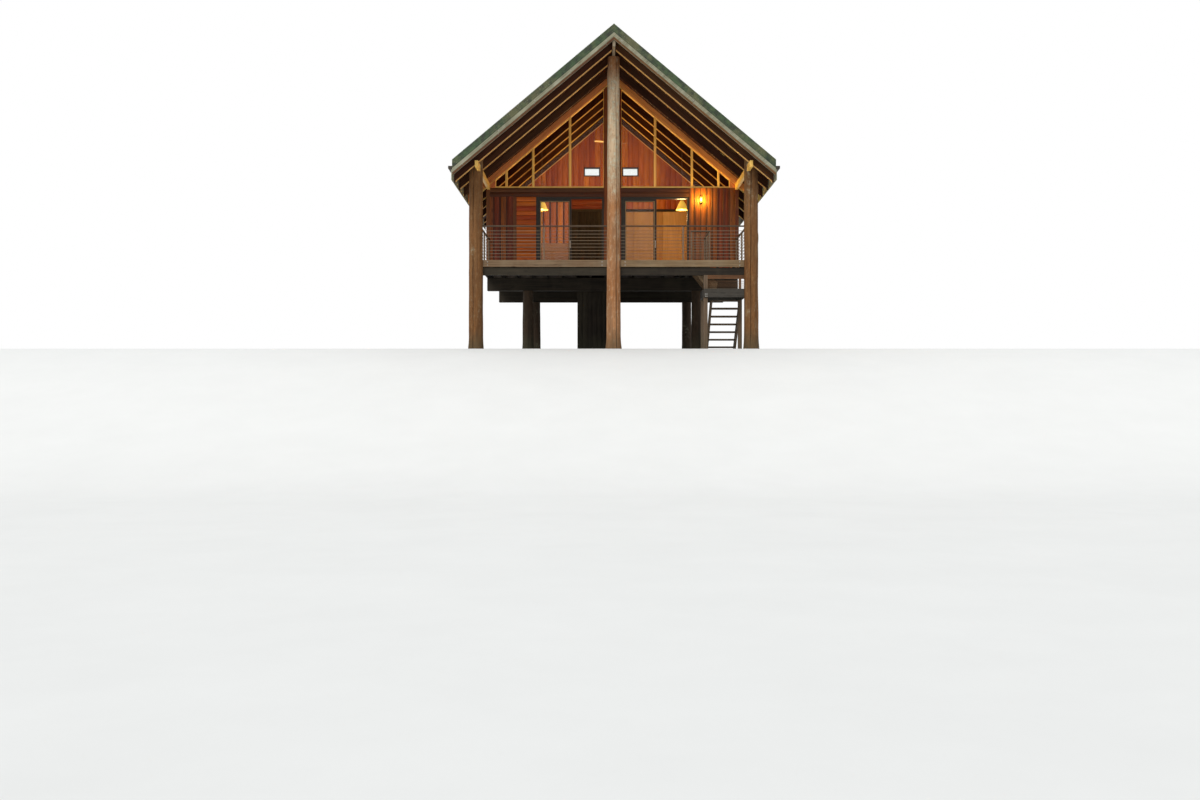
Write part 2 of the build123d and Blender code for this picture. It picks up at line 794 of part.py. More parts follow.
# Stair
def flight(plane, width, rise, going, risers, drop):
    """Treads and two stringers climbing along the plane's X axis from its origin."""
    treads = [(i * going - tread_nose, 0, (i + 1) * rise) for i in range(risers - 1)]
    end = (risers - 1) * going
    top = risers * rise - tread_thickness
    with Locations([plane * Location(tread) for tread in treads]):
        Box(going + tread_nose, width, tread_thickness, align=(Align.MIN, Align.MIN, Align.MAX))
    profile = Plane(origin=plane.origin, x_dir=plane.x_dir, z_dir=plane.y_dir * -1)
    for offset_y in (0, width - stringer_width):
        with BuildSketch(profile.offset(-offset_y)) as outline:
            with BuildLine():
                Polyline(
                    (0, 0),
                    (drop, 0),
                    (end, (risers - 1) * rise - stringer_tail),
                    (end, top),
                    (end - stringer_head, top),
                    (-tread_nose, rise - stringer_foot_drop),
                    close=True,
                )
            make_face()
        extrude(outline.sketch, amount=-stringer_width)


with BuildPart() as landing:
    boards_z = (landing_level - landing_board, landing_level)
    beam_z = (boards_z[0] - landing_beam, boards_z[0])
    landing_x = (landing_left, stairwell_right)
    block(landing_x, (landing_front, landing_back), boards_z)
    for edge in (landing_front, landing_back - joist_width):
        block(landing_x, (edge, edge + joist_width), beam_z)
    for edge in (landing_left, stairwell_right - joist_width):
        block((edge, edge + joist_width), (landing_front, landing_back), beam_z)
    front_post_top = joist_base - front_bearer_depth
    post_y = (front_y, front_y + landing_post)
    block((landing_left, landing_left + landing_post), post_y, (0, front_post_top))
    back_y = (landing_back - joist_width - landing_post, landing_back - joist_width)
    for edge in (landing_left, stairwell_right - landing_post):
        block((edge, edge + landing_post), back_y, (0, boards_z[0]))
    front_logs(seat_gap, Mode.SUBTRACT)
finish(landing, "landing")

with BuildPart() as landing_guard:
    rail_x = (landing_left + landing_post, stairwell_right)
    rail_y = (post_y[0], post_y[0] + joist_width / 2)
    block(rail_x, rail_y, (front_post_top - landing_rail, front_post_top))
    end_x = (landing_end_x, landing_end_x + landing_end_post)
    block(end_x, rail_y, (landing_level, front_post_top))
    clear_rise = front_post_top - landing_rail - landing_level
    for i in range(4):
        level = landing_level + clear_rise * (i + 1) / 5
        block(rail_x, rail_y, (level - guard_bar, level))
    front_logs(seat_gap, Mode.SUBTRACT)
finish(landing_guard, "landing_guard")

with BuildPart() as upper_flight:
    foot = Plane(origin=(first_upper_riser, landing_back, landing_level), x_dir=(-1, 0, 0), z_dir=(0, 0, 1))
    flight(foot, landing_back - well_front, riser, upper_going, 4, stringer_depth)
finish(upper_flight, "upper_flight")

with BuildPart() as lower_flight:
    foot = Plane(origin=(lower_flight_left, lower_flight_foot, 0), x_dir=(0, -1, 0), z_dir=(0, 0, 1))
    flight(foot, flight_width, lower_riser, lower_going, lower_risers, stringer_depth)
finish(lower_flight, "lower_flight")

# Ceiling fan: the canopy, rod and motor hang from the ridge beam, the rotor turns below
with BuildPart() as fan_mount:
    motor_top = fan_level + fan_motor_height
    with BuildSketch(Plane.XZ.offset(-fan_y)):
        with BuildLine():
            Polyline(
                (0, ridge_base),
                (fan_canopy_radius, ridge_base),
                (fan_canopy_radius, ridge_base - fan_canopy_height / 2),
                (fan_rod_radius, ridge_base - fan_canopy_height),
                (fan_rod_radius, motor_top),
                (fan_motor_radius * 0.6, motor_top),
                (fan_motor_radius, motor_top - fan_motor_height / 3),
                (fan_motor_radius, fan_level),
                (0, fan_level),
                close=True,
            )
        make_face()
    revolve(axis=Axis((0, fan_y, 0), (0, 0, 1)))
finish(fan_mount, "fan_mount")

with BuildPart() as fan_blade:
    blade_length = fan_blade_reach - fan_blade_seat
    straight = blade_length - fan_blade_tip
    with BuildSketch(Plane.XY.offset(-fan_blade_thickness / 2)):
        with BuildLine():
            Polyline(
                (straight, fan_blade_width / 2),
                (0, fan_blade_root / 2),
                (0, -fan_blade_root / 2),
                (straight, -fan_blade_width / 2),
            )
            ThreePointArc(
                (straight, -fan_blade_width / 2),
                (blade_length, 0),
                (straight, fan_blade_width / 2),
            )
        make_face()
    extrude(amount=fan_blade_thickness)

with BuildPart() as fan_rotor:
    hub_top = fan_level - seat_gap
    with BuildSketch(Plane.XZ.offset(-fan_y)):
        with BuildLine():
            Polyline(
                (0, hub_top),
                (fan_hub_radius, hub_top),
                (fan_hub_radius, hub_top - fan_hub_rim),
                (fan_hub_foot, hub_top - fan_hub_height),
                (0, hub_top - fan_hub_height),
                close=True,
            )
        make_face()
    revolve(axis=Axis((0, fan_y, 0), (0, 0, 1)))
    with Locations((0, fan_y, hub_top - fan_hub_height / 2)):
        with PolarLocations(fan_blade_seat, fan_blades, start_angle=fan_blade_start):
            with Locations(Rotation(fan_blade_twist, 0, 0)):
                add(fan_blade.part)
finish(fan_rotor, "fan_rotor")

# Lamps: bell shades that hang on rods, each round its bulb, and one lamp on the front wall
with BuildPart() as pendant_lamps:
    pendant_at = (pendant_x, pendant_y, pendant_level)
    neck_base = pendant_height - pendant_cap
    hollow_top = neck_base - pendant_wall
    bell = [(0.0, pendant_radius), *pendant_bell]
    turned(pendant_at, [*bell, (neck_base, pendant_neck), (pendant_height, pendant_neck)])
    hollow = [(level, radius - pendant_wall) for level, radius in bell]
    turned(pendant_at, [*hollow, (hollow_top, pendant_neck - pendant_wall)], Mode.SUBTRACT)
    bulb = [
        (bulb_clear, bulb_radius / 2),
        (bulb_clear + bulb_height / 2, bulb_radius),
        (bulb_clear + bulb_height, pendant_neck / 2),
        (hollow_top, pendant_neck / 2),
    ]
    turned(pendant_at, bulb)
    rod_top = roof_base_apex - slope * pendant_x - pendant_level
    turned(pendant_at, [(pendant_height, pendant_rod), (rod_top, pendant_rod)])
    slope_band((0, roof_half), (ceiling_apex, roof_top_apex), (wall_y, rear_y), Mode.SUBTRACT)
    mirror(about=Plane.YZ)
finish(pendant_lamps, "pendant_lamps")

with BuildPart() as wall_lamp:
    lamp_base = wall_lamp_level - wall_lamp_height / 2
    lamp_top = wall_lamp_level + wall_lamp_height / 2
    plate_half = wall_lamp_plate_width / 2
    plate_x = (wall_lamp_x - plate_half, wall_lamp_x + plate_half)
    block(plate_x, (wall_y - wall_lamp_plate, wall_y), (lamp_base, lamp_top))
    lamp_y = wall_y - wall_lamp_plate - wall_lamp_stand
    arm_x = (wall_lamp_x - wall_lamp_plate, wall_lamp_x + wall_lamp_plate)
    for level in (lamp_base, lamp_top - wall_lamp_plate):
        block(arm_x, (lamp_y, wall_y - wall_lamp_plate), (level, level + wall_lamp_plate))
    lower_rings = [
        (0.0, wall_lamp_cap),
        (wall_lamp_cap_height, wall_lamp_cap),
        (2 * wall_lamp_cap_height, wall_lamp_radius),
    ]
    upper_rings = [(wall_lamp_height - level, radius) for level, radius in reversed(lower_rings)]
    turned((wall_lamp_x, lamp_y, lamp_base), lower_rings + upper_rings)
finish(wall_lamp, "wall_lamp")
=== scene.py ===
import math
import random

import bmesh
import bpy
import numpy as np
from mathutils import Matrix, Vector


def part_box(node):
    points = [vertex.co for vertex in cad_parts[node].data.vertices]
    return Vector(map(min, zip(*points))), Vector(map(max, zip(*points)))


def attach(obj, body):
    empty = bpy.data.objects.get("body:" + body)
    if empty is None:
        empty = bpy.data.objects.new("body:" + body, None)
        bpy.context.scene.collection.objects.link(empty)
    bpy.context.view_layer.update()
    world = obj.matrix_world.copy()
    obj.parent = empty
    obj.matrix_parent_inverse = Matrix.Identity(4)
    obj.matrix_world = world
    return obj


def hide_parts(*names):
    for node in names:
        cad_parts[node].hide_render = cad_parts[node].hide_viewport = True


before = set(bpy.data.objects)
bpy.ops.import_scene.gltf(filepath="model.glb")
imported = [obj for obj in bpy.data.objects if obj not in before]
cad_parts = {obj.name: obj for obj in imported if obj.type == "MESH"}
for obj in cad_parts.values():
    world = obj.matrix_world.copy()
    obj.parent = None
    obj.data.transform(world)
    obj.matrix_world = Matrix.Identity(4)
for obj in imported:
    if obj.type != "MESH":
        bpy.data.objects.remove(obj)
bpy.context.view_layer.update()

scene = bpy.context.scene
scene.view_settings.view_transform = "Standard"

# Lines of the house, in metres
SIDES = ((-1, "left"), (1, "right"))
TILT = math.radians(40)
SLOPE = math.tan(TILT)
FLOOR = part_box("deck_floor")[1].z
DOOR_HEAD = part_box("door_frames")[1].z
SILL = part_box("front_header")[1].z
WALL_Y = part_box("front_wall_right")[0].y
WALL_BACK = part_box("front_wall_right")[1].y
REAR_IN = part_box("rear_wall")[0].y
REAR_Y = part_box("rear_wall")[1].y
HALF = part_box("right_wall")[1].x
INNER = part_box("right_wall")[0].x
LOG_Y = (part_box("front_log")[0].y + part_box("front_log")[1].y) / 2
CORNER_X = (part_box("corner_log_right")[0].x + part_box("corner_log_right")[1].x) / 2
CEILING_THICK = 0.02
RAFTER_DEPTH = 0.2
CEILING_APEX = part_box("ceiling_right")[1].z - CEILING_THICK / math.cos(TILT)
RAFTER_APEX = CEILING_APEX - RAFTER_DEPTH / math.cos(TILT)
BARGE_BASE = CEILING_APEX - 0.108 / math.cos(TILT)
ROOF_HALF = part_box("roof_right")[1].x
DECK_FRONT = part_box("deck_floor")[0].y
LANDING_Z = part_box("upper_flight")[0].z
SLOPE_GAP = 0.002


# Node helpers
def feed(tree, sockets, values):
    """Links the sockets that get another socket, and sets the rest."""
    for key, value in values.items():
        if isinstance(value, bpy.types.NodeSocket):
            tree.links.new(value, sockets[key])
        else:
            sockets[key].default_value = value


def put(tree, kind, inputs=None, **settings):
    """Adds a node with its settings and its inputs."""
    made = tree.nodes.new(kind)
    for name, value in settings.items():
        setattr(made, name, value)
    feed(tree, made.inputs, inputs or {})
    return made


def out(tree, kind, inputs=None, **settings):
    """Adds a node and gives its first output."""
    return put(tree, kind, inputs, **settings).outputs[0]


def calc(tree, operation, *values):
    return out(tree, "ShaderNodeMath", dict(enumerate(values)), operation=operation)


def plus(tree, first, second):
    return calc(tree, "ADD", first, second)


def minus(tree, first, second):
    return calc(tree, "SUBTRACT", first, second)


def times(tree, first, second):
    return calc(tree, "MULTIPLY", first, second)


def at_most_one(tree, value):
    return calc(tree, "MINIMUM", value, 1.0)


def weigh(tree, *parts):
    """The sum of values, each times its share."""
    total = None
    for value, share in parts:
        part = times(tree, value, share)
        total = plus(tree, total, part) if total else part
    return total


def stretch(tree, vector, scales):
    return out(tree, "ShaderNodeVectorMath", {0: vector, 1: scales}, operation="MULTIPLY")


def shift(tree, vector, step):
    return out(tree, "ShaderNodeVectorMath", {0: vector, 1: step}, operation="ADD")


def diagonal(tree, value):
    """A vector with the same value three times."""
    return out(tree, "ShaderNodeCombineXYZ", {0: value, 1: value, 2: value})


def upright(tree, value):
    """A vector of a given height."""
    return out(tree, "ShaderNodeCombineXYZ", {2: value})


def height_of(tree, vector):
    return put(tree, "ShaderNodeSeparateXYZ", {0: vector}).outputs["Z"]


def place_on(tree):
    """The place on the object, in metres."""
    return put(tree, "ShaderNodeTexCoord").outputs["Object"]


def facing_up(tree):
    """How far a face looks up, from -1 to 1."""
    return height_of(tree, put(tree, "ShaderNodeNewGeometry").outputs["Normal"])


def mark(tree, name, output="Fac"):
    """A value that the piece's mesh carries."""
    return put(tree, "ShaderNodeAttribute", attribute_name=name).outputs[output]


def spread(tree, value, low, high, to_low=0.0, to_high=1.0):
    """Maps a value from one range to another with soft ends."""
    return out(
        tree, "ShaderNodeMapRange", {0: value, 1: low, 2: high, 3: to_low, 4: to_high},
        interpolation_type="SMOOTHSTEP",
    )


def mix(tree, share, first, second, blend="MIX"):
    values = {0: share, 6: first, 7: second}
    return put(tree, "ShaderNodeMix", values, data_type="RGBA", blend_type=blend).outputs[2]


def noise(tree, place, scale, detail, roughness=0.55, distortion=0.0):
    return out(
        tree, "ShaderNodeTexNoise",
        {
            "Vector": place, "Scale": scale, "Detail": detail, "Roughness": roughness,
            "Distortion": distortion,
        },
    )


def streaks(tree, place, scales, detail, roughness, distortion=0.0):
    """Noise drawn out along the directions with the small scales."""
    return noise(tree, stretch(tree, place, scales), 1.0, detail, roughness, distortion)


def spots(tree, place, scale, feature="F1"):
    """The distance from scattered points, or from the lines midway between them."""
    return out(tree, "ShaderNodeTexVoronoi", {"Vector": place, "Scale": scale}, feature=feature)


def bump(tree, height, strength, distance):
    return out(tree, "ShaderNodeBump", {"Height": height, "Strength": strength, "Distance": distance})


def open_group(name, kind, inputs, outputs):
    """A node group with named inputs (kind, start value) and outputs."""
    tree = bpy.data.node_groups.new(name, kind)
    for label, (socket, value) in inputs.items():
        made = tree.interface.new_socket(label, in_out="INPUT", socket_type="NodeSocket" + socket)
        if value is not None:
            made.default_value = value
    for label, socket in outputs.items():
        tree.interface.new_socket(label, in_out="OUTPUT", socket_type="NodeSocket" + socket)
    return tree, put(tree, "NodeGroupInput").outputs, put(tree, "NodeGroupOutput").inputs


def rgb(red, green, blue):
    return (red, green, blue, 1.0)


def scaled(colour, factor, lift=0.0):
    """A colour made lighter or darker."""
    return rgb(*(min(1.0, part * factor + lift) for part in colour[:3]))


# Effects used by several finishes
def timber_grain_group():
    """Streaks and fibres along a board's own length, with knots, and a tone for each board."""
    tree, given, made = open_group(
        "Timber grain",
        "ShaderNodeTree",
        {
            "Grain": ("Vector", None),
            "Tone": ("Float", 0.5),
            "Light": ("Color", rgb(0.5, 0.3, 0.15)),
            "Dark": ("Color", rgb(0.2, 0.1, 0.05)),
            "Spread": ("Float", 0.5),
            "Knots": ("Float", 0.5),
        },
        {"Color": "Color", "Height": "Float", "Fibre": "Float"},
    )
    place = shift(tree, given["Grain"], diagonal(tree, times(tree, given["Tone"], 37.0)))
    along = stretch(tree, place, (1.1, 14.0, 14.0))
    broad = noise(tree, along, 1.0, 3.0, 0.5, 0.6)
    fibre = streaks(tree, place, (5.0, 110.0, 110.0), 3.0, 0.65)
    rings = put(
        tree, "ShaderNodeTexWave", {"Vector": along, "Scale": 0.55, "Distortion": 5.0, "Detail": 2.0},
        bands_direction="Y",
    ).outputs["Fac"]
    knot = spread(tree, spots(tree, stretch(tree, place, (1.6, 7.0, 7.0)), 1.0), 0.16, 0.05)
    knot = times(tree, knot, given["Knots"])
    light = spread(tree, weigh(tree, (broad, 0.5), (fibre, 0.32), (rings, 0.18)), 0.3, 0.7)
    colour = mix(tree, light, given["Dark"], given["Light"])
    colour = mix(tree, knot, colour, given["Dark"], "MULTIPLY")
    lift = times(tree, minus(tree, given["Tone"], 0.5), given["Spread"])
    hue = plus(tree, times(tree, lift, 0.05), 0.5)
    toned = out(
        tree, "ShaderNodeHueSaturation",
        {"Hue": hue, "Saturation": 1.0, "Value": plus(tree, lift, 1.0), "Color": colour},
    )
    height = minus(tree, plus(tree, times(tree, broad, 0.4), fibre), knot)
    feed(tree, made, {"Color": toned, "Height": height, "Fibre": fibre})
    return tree


def weathering_and_shade_group():
    """Greying in patches and rain streaks, more on faces turned up, damp near the ground, and painted shade
    on faces turned down.
    """
    tree, given, made = open_group(
        "Weathering and shade",
        "ShaderNodeTree",
        {
            "Color": ("Color", rgb(0.4, 0.25, 0.15)),
            "Grey": ("Color", rgb(0.4, 0.37, 0.3)),
            "Amount": ("Float", 0.5),
            "Damp": ("Float", 0.3),
            "Underside Shade": ("Float", 0.0),
        },
        {"Color": "Color", "Mask": "Float", "Underside Shade": "Float"},
    )
    place = place_on(tree)
    patch = noise(tree, place, 1.7, 5.0, 0.6)
    streak = streaks(tree, place, (5.0, 5.0, 0.6), 3.0, 0.5)
    facing = facing_up(tree)
    upward = spread(tree, facing, 0.2, 0.9)
    mask = spread(tree, weigh(tree, (patch, 0.68), (streak, 0.32)), 0.42, 0.66)
    mask = plus(tree, mask, times(tree, upward, 0.6))
    mask = at_most_one(tree, times(tree, mask, given["Amount"]))
    greyed = mix(tree, mask, given["Color"], given["Grey"])
    level = plus(tree, height_of(tree, place), times(tree, patch, -0.5))
    damp = times(tree, spread(tree, level, 0.55, -0.25), given["Damp"])
    wet = mix(tree, damp, greyed, rgb(0.045, 0.05, 0.03))
    # Painted shade: faces turned down are darkened towards near-black, as by the shade under them.
    painted_underside_shade = times(tree, spread(tree, facing, -0.35, -0.85), given["Underside Shade"])
    shaded = mix(tree, painted_underside_shade, wet, rgb(0.022, 0.017, 0.012))
    feed(tree, made, {"Color": shaded, "Underside Shade": painted_underside_shade, "Mask": mask})
    return tree


def edge_wear_group():
    """Paler arrises where the faces carry the worn mark, broken up along their length."""
    tree, given, made = open_group(
        "Edge wear",
        "ShaderNodeTree",
        {
            "Color": ("Color", rgb(0.4, 0.25, 0.15)),
            "Pale": ("Color", rgb(0.6, 0.5, 0.4)),
            "Amount": ("Float", 0.5),
        },
        {"Color": "Color", "Mask": "Float"},
    )
    broken = spread(tree, noise(tree, place_on(tree), 14.0, 4.0, 0.6), 0.35, 0.6)
    mask = times(tree, times(tree, mark(tree, "worn"), broken), given["Amount"])
    feed(tree, made, {"Color": mix(tree, mask, given["Color"], given["Pale"]), "Mask": mask})
    return tree


def surface_dust_group():
    """Dust and fingermarks that break up a smooth coat."""
    tree, given, made = open_group(
        "Surface dust",
        "ShaderNodeTree",
        {
            "Color": ("Color", rgb(0.3, 0.3, 0.3)),
            "Dust": ("Color", rgb(0.42, 0.38, 0.3)),
            "Amount": ("Float", 0.2),
            "Roughness": ("Float", 0.4),
        },
        {"Color": "Color", "Roughness": "Float", "Height": "Float"},
    )
    place = place_on(tree)
    cloud = spread(tree, noise(tree, place, 2.6, 6.0, 0.62), 0.4, 0.72)
    grit = noise(tree, place, 160.0, 2.0, 0.6)
    upward = spread(tree, facing_up(tree), 0.1, 0.95)
    mask = times(tree, plus(tree, cloud, times(tree, upward, 0.8)), given["Amount"])
    mask = at_most_one(tree, mask)
    rough = at_most_one(tree, plus(tree, given["Roughness"], times(tree, mask, 0.35)))
    colour = mix(tree, mask, given["Color"], given["Dust"])
    feed(tree, made, {"Color": colour, "Roughness": rough, "Height": grit})
    return tree


TIMBER_GRAIN = timber_grain_group()
WEATHERING_AND_SHADE = weathering_and_shade_group()
EDGE_WEAR = edge_wear_group()
SURFACE_DUST = surface_dust_group()


def use(tree, effect, values):
    """Puts an effect in a material with its own values, and gives its outputs."""
    return put(tree, "ShaderNodeGroup", values, node_tree=effect).outputs


def open_material(name):
    """A material with its tree and the inputs of its Principled node."""
    material = bpy.data.materials.new(name)
    material.use_nodes = True
    return material, material.node_tree, material.node_tree.nodes["Principled BSDF"].inputs


# Finishes
def timber(
    name, light, dark, grey, greying, tone_spread=0.5, knots=0.5, rough=0.62,
    relief=0.5, wear=0.4, damp=0.2, under=0.0, coat=0.0, shine=0.22, upward_grain=False,
):
    """A sawn or planed timber, read along each board's own length, or up a wall."""
    material, tree, shader = open_material(name)
    if upward_grain:
        place = place_on(tree)
        x, y, z = put(tree, "ShaderNodeSeparateXYZ", {0: place}).outputs
        grain = out(tree, "ShaderNodeCombineXYZ", {0: z, 1: x, 2: y})
        tone = noise(tree, place, 2.0, 1.0)
    else:
        grain, tone = mark(tree, "grain", "Vector"), mark(tree, "tone")
    wood = use(tree, TIMBER_GRAIN, {
        "Grain": grain, "Tone": tone, "Light": light, "Dark": dark, "Spread": tone_spread, "Knots": knots,
    })
    # The under value sets how much painted shade darkens the faces turned down.
    aged = use(tree, WEATHERING_AND_SHADE, {
        "Color": wood["Color"], "Grey": grey, "Amount": greying, "Damp": damp, "Underside Shade": under,
    })
    worn = use(tree, EDGE_WEAR, {"Color": aged["Color"], "Pale": light, "Amount": wear})
    roughness = plus(tree, times(tree, wood["Fibre"], 0.18), rough - 0.09)
    roughness = plus(tree, roughness, times(tree, aged["Mask"], 0.15))
    roughness = plus(tree, roughness, times(tree, aged["Underside Shade"], 0.6))
    feed(tree, shader, {
        "Base Color": worn["Color"],
        "Roughness": at_most_one(tree, roughness),
        "Normal": bump(tree, wood["Height"], relief, 0.002),
        "Specular IOR Level": shine,
        "Coat Weight": coat,
        "Coat Roughness": 0.28,
    })
    return material


def log_timber(name, pale, red, brown, pale_from, pale_to):
    """A peeled log: red-brown sapwood with fibres and checks, silvered between two levels."""
    material, tree, shader = open_material(name)
    place = place_on(tree)
    fibres = streaks(tree, place, (38.0, 38.0, 1.6), 5.0, 0.65, 0.4)
    bands = streaks(tree, place, (7.0, 7.0, 0.55), 4.0, 0.55, 0.8)
    blotch = streaks(tree, place, (3.2, 3.2, 1.3), 6.0, 0.68)
    check = spots(tree, stretch(tree, place, (26.0, 26.0, 1.1)), 5.0, "DISTANCE_TO_EDGE")
    check = times(tree, spread(tree, check, 0.045, 0.0), spread(tree, bands, 0.45, 0.62))
    colour = mix(tree, spread(tree, bands, 0.34, 0.66), brown, red)
    level = plus(tree, height_of(tree, place), times(tree, blotch, 1.6))
    fading_in = spread(tree, level, pale_from, pale_from + 1.5)
    silver = times(tree, fading_in, spread(tree, level, pale_to + 0.9, pale_to))
    silver = plus(tree, silver, times(tree, spread(tree, blotch, 0.56, 0.68), 0.45))
    silver = times(tree, at_most_one(tree, silver), spread(tree, fibres, 0.22, 0.5, 0.62, 1.0))
    colour = mix(tree, silver, colour, pale)
    mottle = streaks(tree, place, (15.0, 15.0, 7.0), 4.0, 0.7)
    colour = mix(tree, spread(tree, mottle, 0.52, 0.66, 0.0, 0.5), colour, brown)
    colour = mix(tree, spread(tree, mottle, 0.46, 0.34, 0.0, 0.4), colour, pale)
    lichen = spread(tree, noise(tree, place, 10.0, 6.0, 0.75), 0.5, 0.6)
    lichen = times(tree, lichen, times(tree, silver, 0.75))
    colour = mix(tree, lichen, colour, rgb(0.5, 0.5, 0.37))
    colour = mix(tree, spread(tree, fibres, 0.2, 0.62, 0.5, 0.0), colour, rgb(0.1, 0.05, 0.03))
    colour = mix(tree, times(tree, check, 0.85), colour, rgb(0.03, 0.015, 0.01))
    colour = mix(tree, times(tree, mark(tree, "split"), 0.9), colour, rgb(0.025, 0.012, 0.008))
    aged = use(tree, WEATHERING_AND_SHADE, {"Color": colour, "Grey": pale, "Amount": 0.12, "Damp": 0.55})
    height = minus(tree, plus(tree, fibres, times(tree, blotch, 0.6)), check)
    feed(tree, shader, {
        "Base Color": aged["Color"],
        "Roughness": spread(tree, fibres, 0.2, 0.8, 0.95, 0.72),
        "Normal": bump(tree, height, 0.75, 0.006),
        "Specular IOR Level": 0.22,
    })
    return material


def coated_metal(name, colour, dust, amount, rough, metallic, relief, wear):
    """A painted or bare metal with dust, smears and worn arrises."""
    material, tree, shader = open_material(name)
    dusty = use(tree, SURFACE_DUST, {"Color": colour, "Dust": dust, "Amount": amount, "Roughness": rough})
    worn = use(tree, EDGE_WEAR, {
        "Color": dusty["Color"], "Pale": scaled(colour, 1.8, 0.08), "Amount": wear,
    })
    feed(tree, shader, {
        "Base Color": worn["Color"],
        "Roughness": dusty["Roughness"],
        "Normal": bump(tree, dusty["Height"], relief, 0.001),
        "Metallic": metallic,
        "Specular IOR Level": 0.25,
    })
    return material


def roof_finish(name, scales, dark, light):
    """Matt green sheet with rain streaks, lichen and leaf stain."""
    material, tree, shader = open_material(name)
    place = place_on(tree)
    streak = streaks(tree, place, scales, 5.0, 0.6)
    patch = noise(tree, place, 1.1, 6.0, 0.66)
    colour = mix(tree, spread(tree, streak, 0.3, 0.7), dark, light)
    stain = spread(tree, weigh(tree, (patch, 0.7), (streak, 0.3)), 0.47, 0.64)
    colour = mix(tree, times(tree, stain, 0.65), colour, rgb(0.12, 0.1, 0.04))
    lichen = spread(tree, spots(tree, place, 17.0), 0.26, 0.14)
    lichen = times(tree, lichen, spread(tree, patch, 0.48, 0.6))
    colour = mix(tree, times(tree, lichen, 0.6), colour, rgb(0.26, 0.29, 0.2))
    dusty = use(tree, SURFACE_DUST, {
        "Color": colour, "Dust": rgb(0.14, 0.13, 0.07), "Amount": 0.14, "Roughness": 0.52,
    })
    rough = at_most_one(tree, plus(tree, dusty["Roughness"], times(tree, lichen, 0.3)))
    height = plus(tree, times(tree, dusty["Height"], 0.2), lichen)
    feed(tree, shader, {
        "Base Color": dusty["Color"], "Roughness": rough, "Normal": bump(tree, height, 0.35, 0.002),
    })
    return material


def clear_glass(name, tint):
    """Thin glass that lets the lamps through, with a film of dust."""
    material, tree, shader = open_material(name)
    place = place_on(tree)
    film = spread(tree, noise(tree, place, 3.0, 6.0, 0.65), 0.5, 0.8)
    feed(tree, shader, {
        "Roughness": times(tree, film, 0.012),
        "Base Color": mix(tree, times(tree, film, 0.3), tint, rgb(0.8, 0.76, 0.68)),
        "Normal": bump(tree, noise(tree, place, 1.4, 2.0), 0.015, 0.002),
        "Transmission Weight": 1.0,
        "IOR": 1.2,
    })
    shadow = put(tree, "ShaderNodeLightPath").outputs["Is Shadow Ray"]
    open_film = out(tree, "ShaderNodeBsdfTransparent", {"Color": tint})
    pane = tree.nodes["Principled BSDF"].outputs[0]
    surface = out(tree, "ShaderNodeMixShader", {0: shadow, 1: pane, 2: open_film})
    feed(tree, tree.nodes["Material Output"].inputs, {"Surface": surface})
    return material


def glowing(name, colour, glow, strength, low, high):
    """A lit shade or globe, brighter about its middle level."""
    material, tree, shader = open_material(name)
    place = place_on(tree)
    far = calc(tree, "ABSOLUTE", minus(tree, height_of(tree, place), (low + high) / 2))
    bright = spread(tree, far, (high - low) * 0.6, 0.0, 0.45, 1.0)
    cloud = spread(tree, noise(tree, place, 24.0, 4.0), 0.3, 0.7, 0.85, 1.0)
    feed(tree, shader, {
        "Emission Color": mix(tree, times(tree, bright, cloud), scaled(glow, 0.55), glow),
        "Base Color": mix(tree, cloud, scaled(colour, 0.7), colour),
        "Emission Strength": strength,
        "Roughness": spread(tree, cloud, 0.85, 1.0, 0.5, 0.35),
        "Normal": bump(tree, noise(tree, place, 60.0, 3.0), 0.08, 0.001),
    })
    return material


def ground_finish():
    """Nearly white ground with soft patches."""
    material, tree, shader = open_material("pale_ground")
    tone = noise(tree, place_on(tree), 0.8, 4.0, 0.6)
    colour = mix(tree, tone, rgb(0.78, 0.78, 0.77), rgb(0.84, 0.84, 0.83))
    feed(tree, shader, {"Base Color": colour, "Roughness": 0.95})
    return material


FINISH = {
    "front_log": log_timber(
        "front_log_timber", rgb(0.56, 0.41, 0.26), rgb(0.46, 0.2, 0.075), rgb(0.23, 0.098, 0.036), 4.8, 8.2
    ),
    "corner_log": log_timber(
        "corner_log_timber", rgb(0.25, 0.16, 0.075), rgb(0.23, 0.1, 0.03), rgb(0.1, 0.042, 0.012), 5.6, 9.5
    ),
    # The logs under the floor: the same log finish made far darker, as painted shade under the house.
    "under_log": log_timber(
        "under_log_timber",
        rgb(0.075, 0.062, 0.04), rgb(0.052, 0.032, 0.018), rgb(0.026, 0.018, 0.011), 9.0, 12.0,
    ),
    "roof": roof_finish(
        "green_roof_sheet", (0.7, 9.0, 0.7), rgb(0.036, 0.055, 0.038), rgb(0.078, 0.105, 0.07)
    ),
    "verge": roof_finish(
        "green_verge_cap", (5.0, 5.0, 5.0), rgb(0.004, 0.01, 0.003), rgb(0.038, 0.082, 0.024)
    ),
    "glass": clear_glass("window_glass", rgb(0.95, 0.97, 0.96)),
    "shade": glowing("lit_pendant_shade", rgb(0.8, 0.52, 0.1), rgb(1.0, 0.64, 0.08), 0.5, 4.75, 5.07),
    "bulb": glowing("lit_bulb_glass", rgb(1.0, 0.8, 0.45), rgb(1.0, 0.7, 0.26), 1.3, 4.76, 4.9),
    "globe": glowing("lit_lamp_glass", rgb(0.3, 0.19, 0.05), rgb(1.0, 0.7, 0.13), 1.3, 4.68, 4.88),
}

